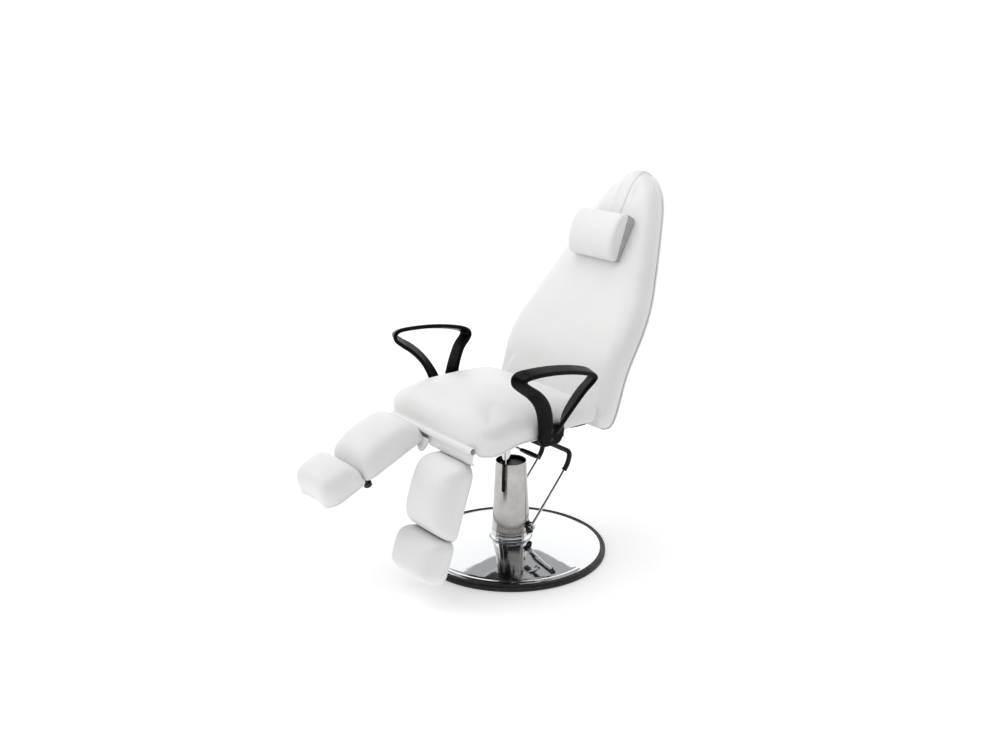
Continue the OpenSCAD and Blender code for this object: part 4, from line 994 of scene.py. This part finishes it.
def pillow_block():
    """The roll's block: X along its length, Z up the backrest and -Y out of it."""
    shape = padding((40, 12, 26))
    for v in shape.verts:
        a, b, c = v.co
        angle = math.pi / 2 * finer_ends(c, 0.1)
        bulge = PILLOW_T * math.cos(angle) ** 0.62 if abs(c) < 0.999 else 0.0
        end = max(0, abs(a) - 0.72) / 0.28
        inward = 1 - 0.16 * (1 - math.sqrt(1 - min(1, end) ** 2))
        place = pillow_centre + pillow_up * pillow_reach * math.sin(angle) * inward
        v.co = Vector((finer_ends(a) * PILLOW_W, 0, 0)) + place + pillow_out * bulge * (1 - b) / 2 * inward
    bmesh.ops.remove_doubles(shape, verts=shape.verts, dist=0.3)
    return on_back(shape)


def off_seam(co):
    """How far in front of the pillow's seam plane a point of the chair lies."""
    local = Matrix.Rotation(BACK_LEAN, 3, "X") @ (co - Vector((0, BACK_Y, BACK_Z)))
    return (local - pillow_centre).dot(pillow_out)


soft("headrest_pillow", pillow_block(), "pillow", "head_pillow", lambda co: off_seam(co) < 3, 5, 0.9)
for s in (1, -1):
    rim_path = [Vector((s * (PILLOW_W - 1.5), 0, 0)) + pillow_centre + pillow_up * pillow_reach * 0.86 * math.sin(a)
                + pillow_out * PILLOW_T * 0.86 * max(0.02, math.cos(a)) ** 0.62
                for a in [math.pi / 2 * k / 12 for k in range(-12, 13)]]
    piece(f"pillow_welt_{'left' if s > 0 else 'right'}", on_back(tube(rim_path, 1.8, sides=12)), "pillow", vinyl)

wedge_side = [(seam_low.y, seam_low.z), (PILLOW_REAR, seam_low.z + 4), (PILLOW_REAR, seam_high.z - 8),
              (PILLOW_REAR - 8, seam_high.z), (seam_high.y, seam_high.z)]
wedge = prism([(1 - PILLOW_W, y, z) for y, z in wedge_side], (2 * PILLOW_W - 2, 0, 0))
piece("pillow_wedge", on_back(softened(wedge, 2.5, 3)), "pillow", grey_foam, ["pillow_base"])

# --- Leg rest frames ----------------------------------------------------------------------------
# Each leg rest turns on a steel hub, from which two black tubes run down its length. Chromed bars
# slide in the tubes and carry the foot pad on two plates.

HUB, HUB_HALF, LEG_X, TUBE_X, TUBE_Z, TUBE_R, TUBE_BORE, REACH = 15, 72, 105, 45, 7, 11, 8.3, 271
KNOB_Y = 10 - REACH
LEGS = {"left": (1, math.radians(71)), "right": (-1, math.radians(24.5))}


def on_leg(shape, side):
    """Moves a shape drawn with -Y down the leg rest and +Z out of its pads to the place of one leg rest."""
    sign, angle = LEGS[side]
    return moved(swung(shape, angle, "X"), sign * LEG_X, AXLE_Y, AXLE_Z)


for side, (sign, _) in LEGS.items():
    half_hub = [(10.3, HUB_HALF), (HUB - 1, HUB_HALF), (HUB, HUB_HALF - 1)]
    hub = swung(turned([(r, -x) for r, x in half_hub] + half_hub[::-1], 48), math.pi / 2, "Y")
    rail = [(TUBE_BORE, -REACH), (TUBE_R - 0.8, -REACH), (TUBE_R, 0.8 - REACH), (TUBE_R, -12.8), (TUBE_R - 0.8, -12),
            (TUBE_BORE, -12)]
    rails = [moved(lathe_y(rail, 36, closed=True), s * TUBE_X, 0, TUBE_Z) for s in (1, -1)]
    boss = moved(turned([(3.3, -8), (9.4, -8), (10, -7.4), (10, -2), (3.3, -2)], 32), -sign * TUBE_X, KNOB_Y, 0)
    piece(f"leg_tubes_{side}", on_leg(joined(hub, *rails, boss), side), f"leg_{side}", black_coat,
          [f"leg_frame_{side}"])

    bar = [(0, 140), (8, 140), (8, 399), (7, 400), (0, 400)]
    bars = [moved(swung(turned(bar, 32, closed=False), math.pi / 2, "X"), s * TUBE_X, 0, TUBE_Z) for s in (1, -1)]
    bars += [softened(block((-TUBE_X - 14, -y - 24, 14), (TUBE_X + 14, -y, 17.9)), 0.8) for y in (291, 368)]
    piece(f"foot_bars_{side}", on_leg(joined(*bars), side), f"foot_{side}", chrome,
          [f"foot_slider_{side}"])

    knob = turned([(0, -26.5), (9.5, -26.5)] + arc(11, -24.5, 2, -90, 0, 4) + arc(11.6, -14.4, 1.6, 0, 90, 4)
                  + [(8, -12.4), (7.6, -8.6), (3, -8.5), (2.9, -2.6), (0, -2.6)], 48, closed=False)
    moved(knob, -sign * TUBE_X, KNOB_Y, 0)
    piece(f"slide_knob_{side}", on_leg(knob, side), f"knob_{side}", plastic, [f"clamp_knob_{side}"])

# --- Leg rest pads ------------------------------------------------------------------------------
# Four thick foam pads in white vinyl, stapled to small boards: a calf pad, and below it a foot pad
# that slides out with its bars. Their edges are well rounded, and their seams lie low on the sides.

PAD_HALF, PAD_LOW, PAD_T, BOARD_T = 100, 18, 91, 10


def hollowed(heel, x):
    """How far the lower end of a pad is drawn in at a place across it."""
    return heel * (1 - min(1, abs(x) / 70) ** 2)


def leg_pad(y0, y1, corner_low, corner_high, edge_r, dome, barrel_low, barrel_high, heel):
    """One pad. Its face falls by dome to its sides and by two barrels to its ends. heel draws in its lower end."""
    shape = padding((30, 30, 8))
    half_y, mid = (y1 - y0) / 2, (y0 + y1) / 2
    for v in shape.verts:
        a, b, c = v.co
        x, y, edge = rounded_plan(finer_ends(a) * PAD_HALF, finer_ends(b) * half_y, PAD_HALF, half_y,
                                  corner_low if b < 0 else corner_high)
        barrel = barrel_low if b < 0 else barrel_high
        fall = math.hypot(dome * (x / PAD_HALF) ** 2, barrel * (y / half_y) ** 2)
        top = max(18, PAD_T - fullness(edge, edge_r) - fall)
        v.co = (x, mid + y + hollowed(heel, x) * max(0, -b) ** 3, PAD_LOW + top * (c + 1) / 2)
    eased(shape, PAD_LOW + 6, 6)
    inner = [f for f in shape.faces if f.normal.z < -0.5 and all(
        abs(v.co.x) < PAD_HALF - 12 and abs(v.co.y - mid) < half_y - 12 for v in f.verts)]
    recess = new_verts(bmesh.ops.extrude_face_region(shape, geom=inner))
    bmesh.ops.delete(shape, geom=inner, context="FACES")
    bmesh.ops.translate(shape, vec=(0, 0, BOARD_T + 0.5), verts=recess)
    return shape


def pad_height(co, side):
    """How far out of a leg rest's plane a point of the chair lies."""
    return (Matrix.Rotation(-LEGS[side][1], 3, "X") @ (co - Vector((0, AXLE_Y, AXLE_Z)))).z


PADS = {"calf": ("leg", -275, -49, 26, 44, 38, 20, 38, 38, 0),
        "foot": ("foot", -413, -277, 44, 26, 34, 20, 30, 26, 8)}
for kind, (body, *sizes) in PADS.items():
    y0, y1, low, high, *_, heel = sizes
    plan = (arc(PAD_HALF - low, y0 + low, low, -90, 0, 8) + arc(PAD_HALF - high, y1 - high, high, 0, 90, 8)
            + arc(high - PAD_HALF, y1 - high, high, 90, 180, 8) + arc(low - PAD_HALF, y0 + low, low, 180, 270, 8)
            + [(x, y0) for x in range(-50, 51, 10)])
    welt = [(x, y + (hollowed(heel, x) if y < y0 + 12 else 0), PAD_LOW + 3.2) for x, y in plan]
    for side in LEGS:
        soft(f"{kind}_cushion_{side}", on_leg(leg_pad(*sizes), side), f"{body}_{side}", f"{kind}_pad_{side}",
             lambda co: pad_height(co, side) < PAD_LOW + 14, 4, 0.9)
        piece(f"{kind}_welt_{side}", on_leg(tube(welt, 2.0, sides=12, closed=True), side), f"{body}_{side}", vinyl)

# --- Valance ------------------------------------------------------------------------------------
# A rolled hem of vinyl runs along the seat's lower front edge over the leg axle. A flap hangs from it to
# each leg rest and is tacked there under the calf pad. The raised leg rest's flap droops in a lobe.

HEM_R, HEM_Y, HEM_Z, HEM_LEFT, HEM_RIGHT, HEM_STEPS = 10.5, -305, 463, 218, -196, 30
hem = bmesh.new()
hem_ring = [hem.verts.new((HEM_RIGHT, HEM_Y + y, HEM_Z + z)) for y, z in arc(0, 0, HEM_R, 0, 360, 28)[:-1]]
hem_edges = [hem.edges.new(pair) for pair in zip(hem_ring, hem_ring[1:] + hem_ring[:1])]
for _ in range(HEM_STEPS):
    grown = bmesh.ops.extrude_edge_only(hem, edges=hem_edges)
    rolled = new_verts(grown)
    hem_edges = [e for e in grown["geom"] if isinstance(e, bmesh.types.BMEdge) and all(v in rolled for v in e.verts)]
    bmesh.ops.translate(hem, vec=((HEM_LEFT - HEM_RIGHT) / HEM_STEPS, 0, 0), verts=rolled)
bmesh.ops.recalc_face_normals(hem, faces=hem.faces)
hem_roll = piece("valance_hem", hem, None, vinyl)
wall = hem_roll.modifiers.new("wall", "SOLIDIFY")
wall.thickness, wall.offset = 1.2 * MM, -1.0
apply_modifiers(hem_roll, 40)
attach(hem_roll, "seat")

FLAPS = {"left": (-45, 34, -6, HEM_LEFT - 2, 0, 0.05), "right": (-56, 18.5, -8, -HEM_RIGHT - 2, 46, 0.04)}
start = Vector((0, HEM_Y + 3, HEM_Z - HEM_R + 0.8))
for side, (tack_y, tack_z, inner, outer, drop, length) in FLAPS.items():
    sign, angle = LEGS[side]
    end = Matrix.Rotation(angle, 3, "X") @ Vector((0, tack_y, tack_z)) + Vector((0, AXLE_Y, AXLE_Z))
    flap = bmesh.new()
    bmesh.ops.create_grid(flap, x_segments=44, y_segments=20, size=1)
    for v in flap.verts:
        across, t = (v.co.x + 1) / 2, (1 - v.co.y) / 2
        x = inner + across ** 1.3 * (outer - inner)
        lobe = math.cos(math.pi / 2 * min(1, abs(x - inner - 30) / 30)) ** 0.8
        hang = (1 - math.cos(math.tau * t)) / 2
        fold = 1.1 * math.sin(x / 13 + 2 * t) * math.sin(math.pi * t)
        straight = start.lerp(end, t)
        sway = 0.2 * drop * lobe * (math.sin(math.tau * t) - hang) - 3.6 * hang
        v.co = (sign * x, straight.y + sway + fold, straight.z - (3.5 + drop * lobe) * hang)
    made = piece(f"valance_flap_{side}", flap, None, vinyl, [f"hinge_cover_{side}"], sharp=60)
    wall = made.modifiers.new("wall", "SOLIDIFY")
    wall.thickness, wall.offset = 1.1 * MM, 0.0
    apply_modifiers(made, 60)
    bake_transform(made)
    (outer - inner) * MM

# --- Floor --------------------------------------------------------------------------------------
# A white floor meets white backdrops on every side, which glow so that the floor hardly has a
# horizon. The backdrops light nothing, and the metal mirrors only the two behind the chair.

RAYS = ("camera", "diffuse", "glossy", "shadow")
STUDIO_HALF = 14


def glowing_white(name, strength):
    """A white paint that glows, so that it renders brighter than its light makes it."""
    made = Finish(name, (0.88, 0.88, 0.88), 0.7, emission_color=(1, 1, 1, 1), emission_strength=strength)
    made.set("Roughness", made.noise(3, 2).band(0.3, 0.7, 0.6, 0.75))
    return made


def stage_set(name, shape, finish, seen_by):
    """A part of the studio, drawn in metres, and the kinds of ray that see it."""
    mesh = bpy.data.meshes.new(name)
    shape.to_mesh(mesh)
    shape.free()
    mesh.materials.append(finish.material)
    made = bpy.data.objects.new(name, mesh)
    scene.collection.objects.link(made)
    for ray in RAYS:
        setattr(made, f"visible_{ray}", ray in seen_by)


def ground():
    """The floor's square."""
    shape = bmesh.new()
    bmesh.ops.create_grid(shape, x_segments=1, y_segments=1, size=STUDIO_HALF)
    return shape


def backdrop(sides):
    """Walls along the edges of the floor that a test picks by twice their middle."""
    shape = ground()
    kept = [e for e in shape.edges if sides(e.verts[0].co + e.verts[1].co)]
    wall_tops = new_verts(bmesh.ops.extrude_edge_only(shape, edges=kept))
    bmesh.ops.translate(shape, vec=(0, 0, STUDIO_HALF), verts=wall_tops)
    bmesh.ops.delete(shape, geom=[f for f in shape.faces if abs(f.calc_center_median().z) < 1], context="FACES")
    return shape


stage_set("floor", moved(ground(), 0, 0, -0.0005), glowing_white("studio_white", 0.42), RAYS)
backdrop_white = glowing_white("backdrop_white", 0.9)
stage_set("far_backdrop", backdrop(lambda co: co.x < -20 or co.y > 20), backdrop_white, ("camera", "glossy"))
stage_set("near_backdrop", backdrop(lambda co: co.x > 20 or co.y < -20), backdrop_white, ("camera",))

# --- Dark screen --------------------------------------------------------------------------------
# A black screen stands round the front of the studio. Only reflections see it, so the chromed and
# brushed metal has something dark to mirror.

screen_finish = Finish("screen_black", (0.012, 0.012, 0.014), 0.9)
screen_finish.set("Roughness", screen_finish.noise(3, 2).band(0.3, 0.7, 0.8, 0.95))
SCREEN_R, SCREEN_LOW, SCREEN_HIGH, SCREEN_FIRST, SCREEN_TURN = 4.6, 1.1, 4.4, -112, 140
screen = bmesh.new()
side = [screen.verts.new((SCREEN_R, 0, z)) for z in (SCREEN_LOW, SCREEN_HIGH)]
bmesh.ops.spin(screen, geom=side + [screen.edges.new(side)], cent=(0, 0, 0), axis=(0, 0, 1),
               angle=math.radians(SCREEN_TURN), steps=28)
swung(screen, math.radians(SCREEN_FIRST), "Z")
stage_set("dark_screen", screen, screen_finish, ("glossy",))
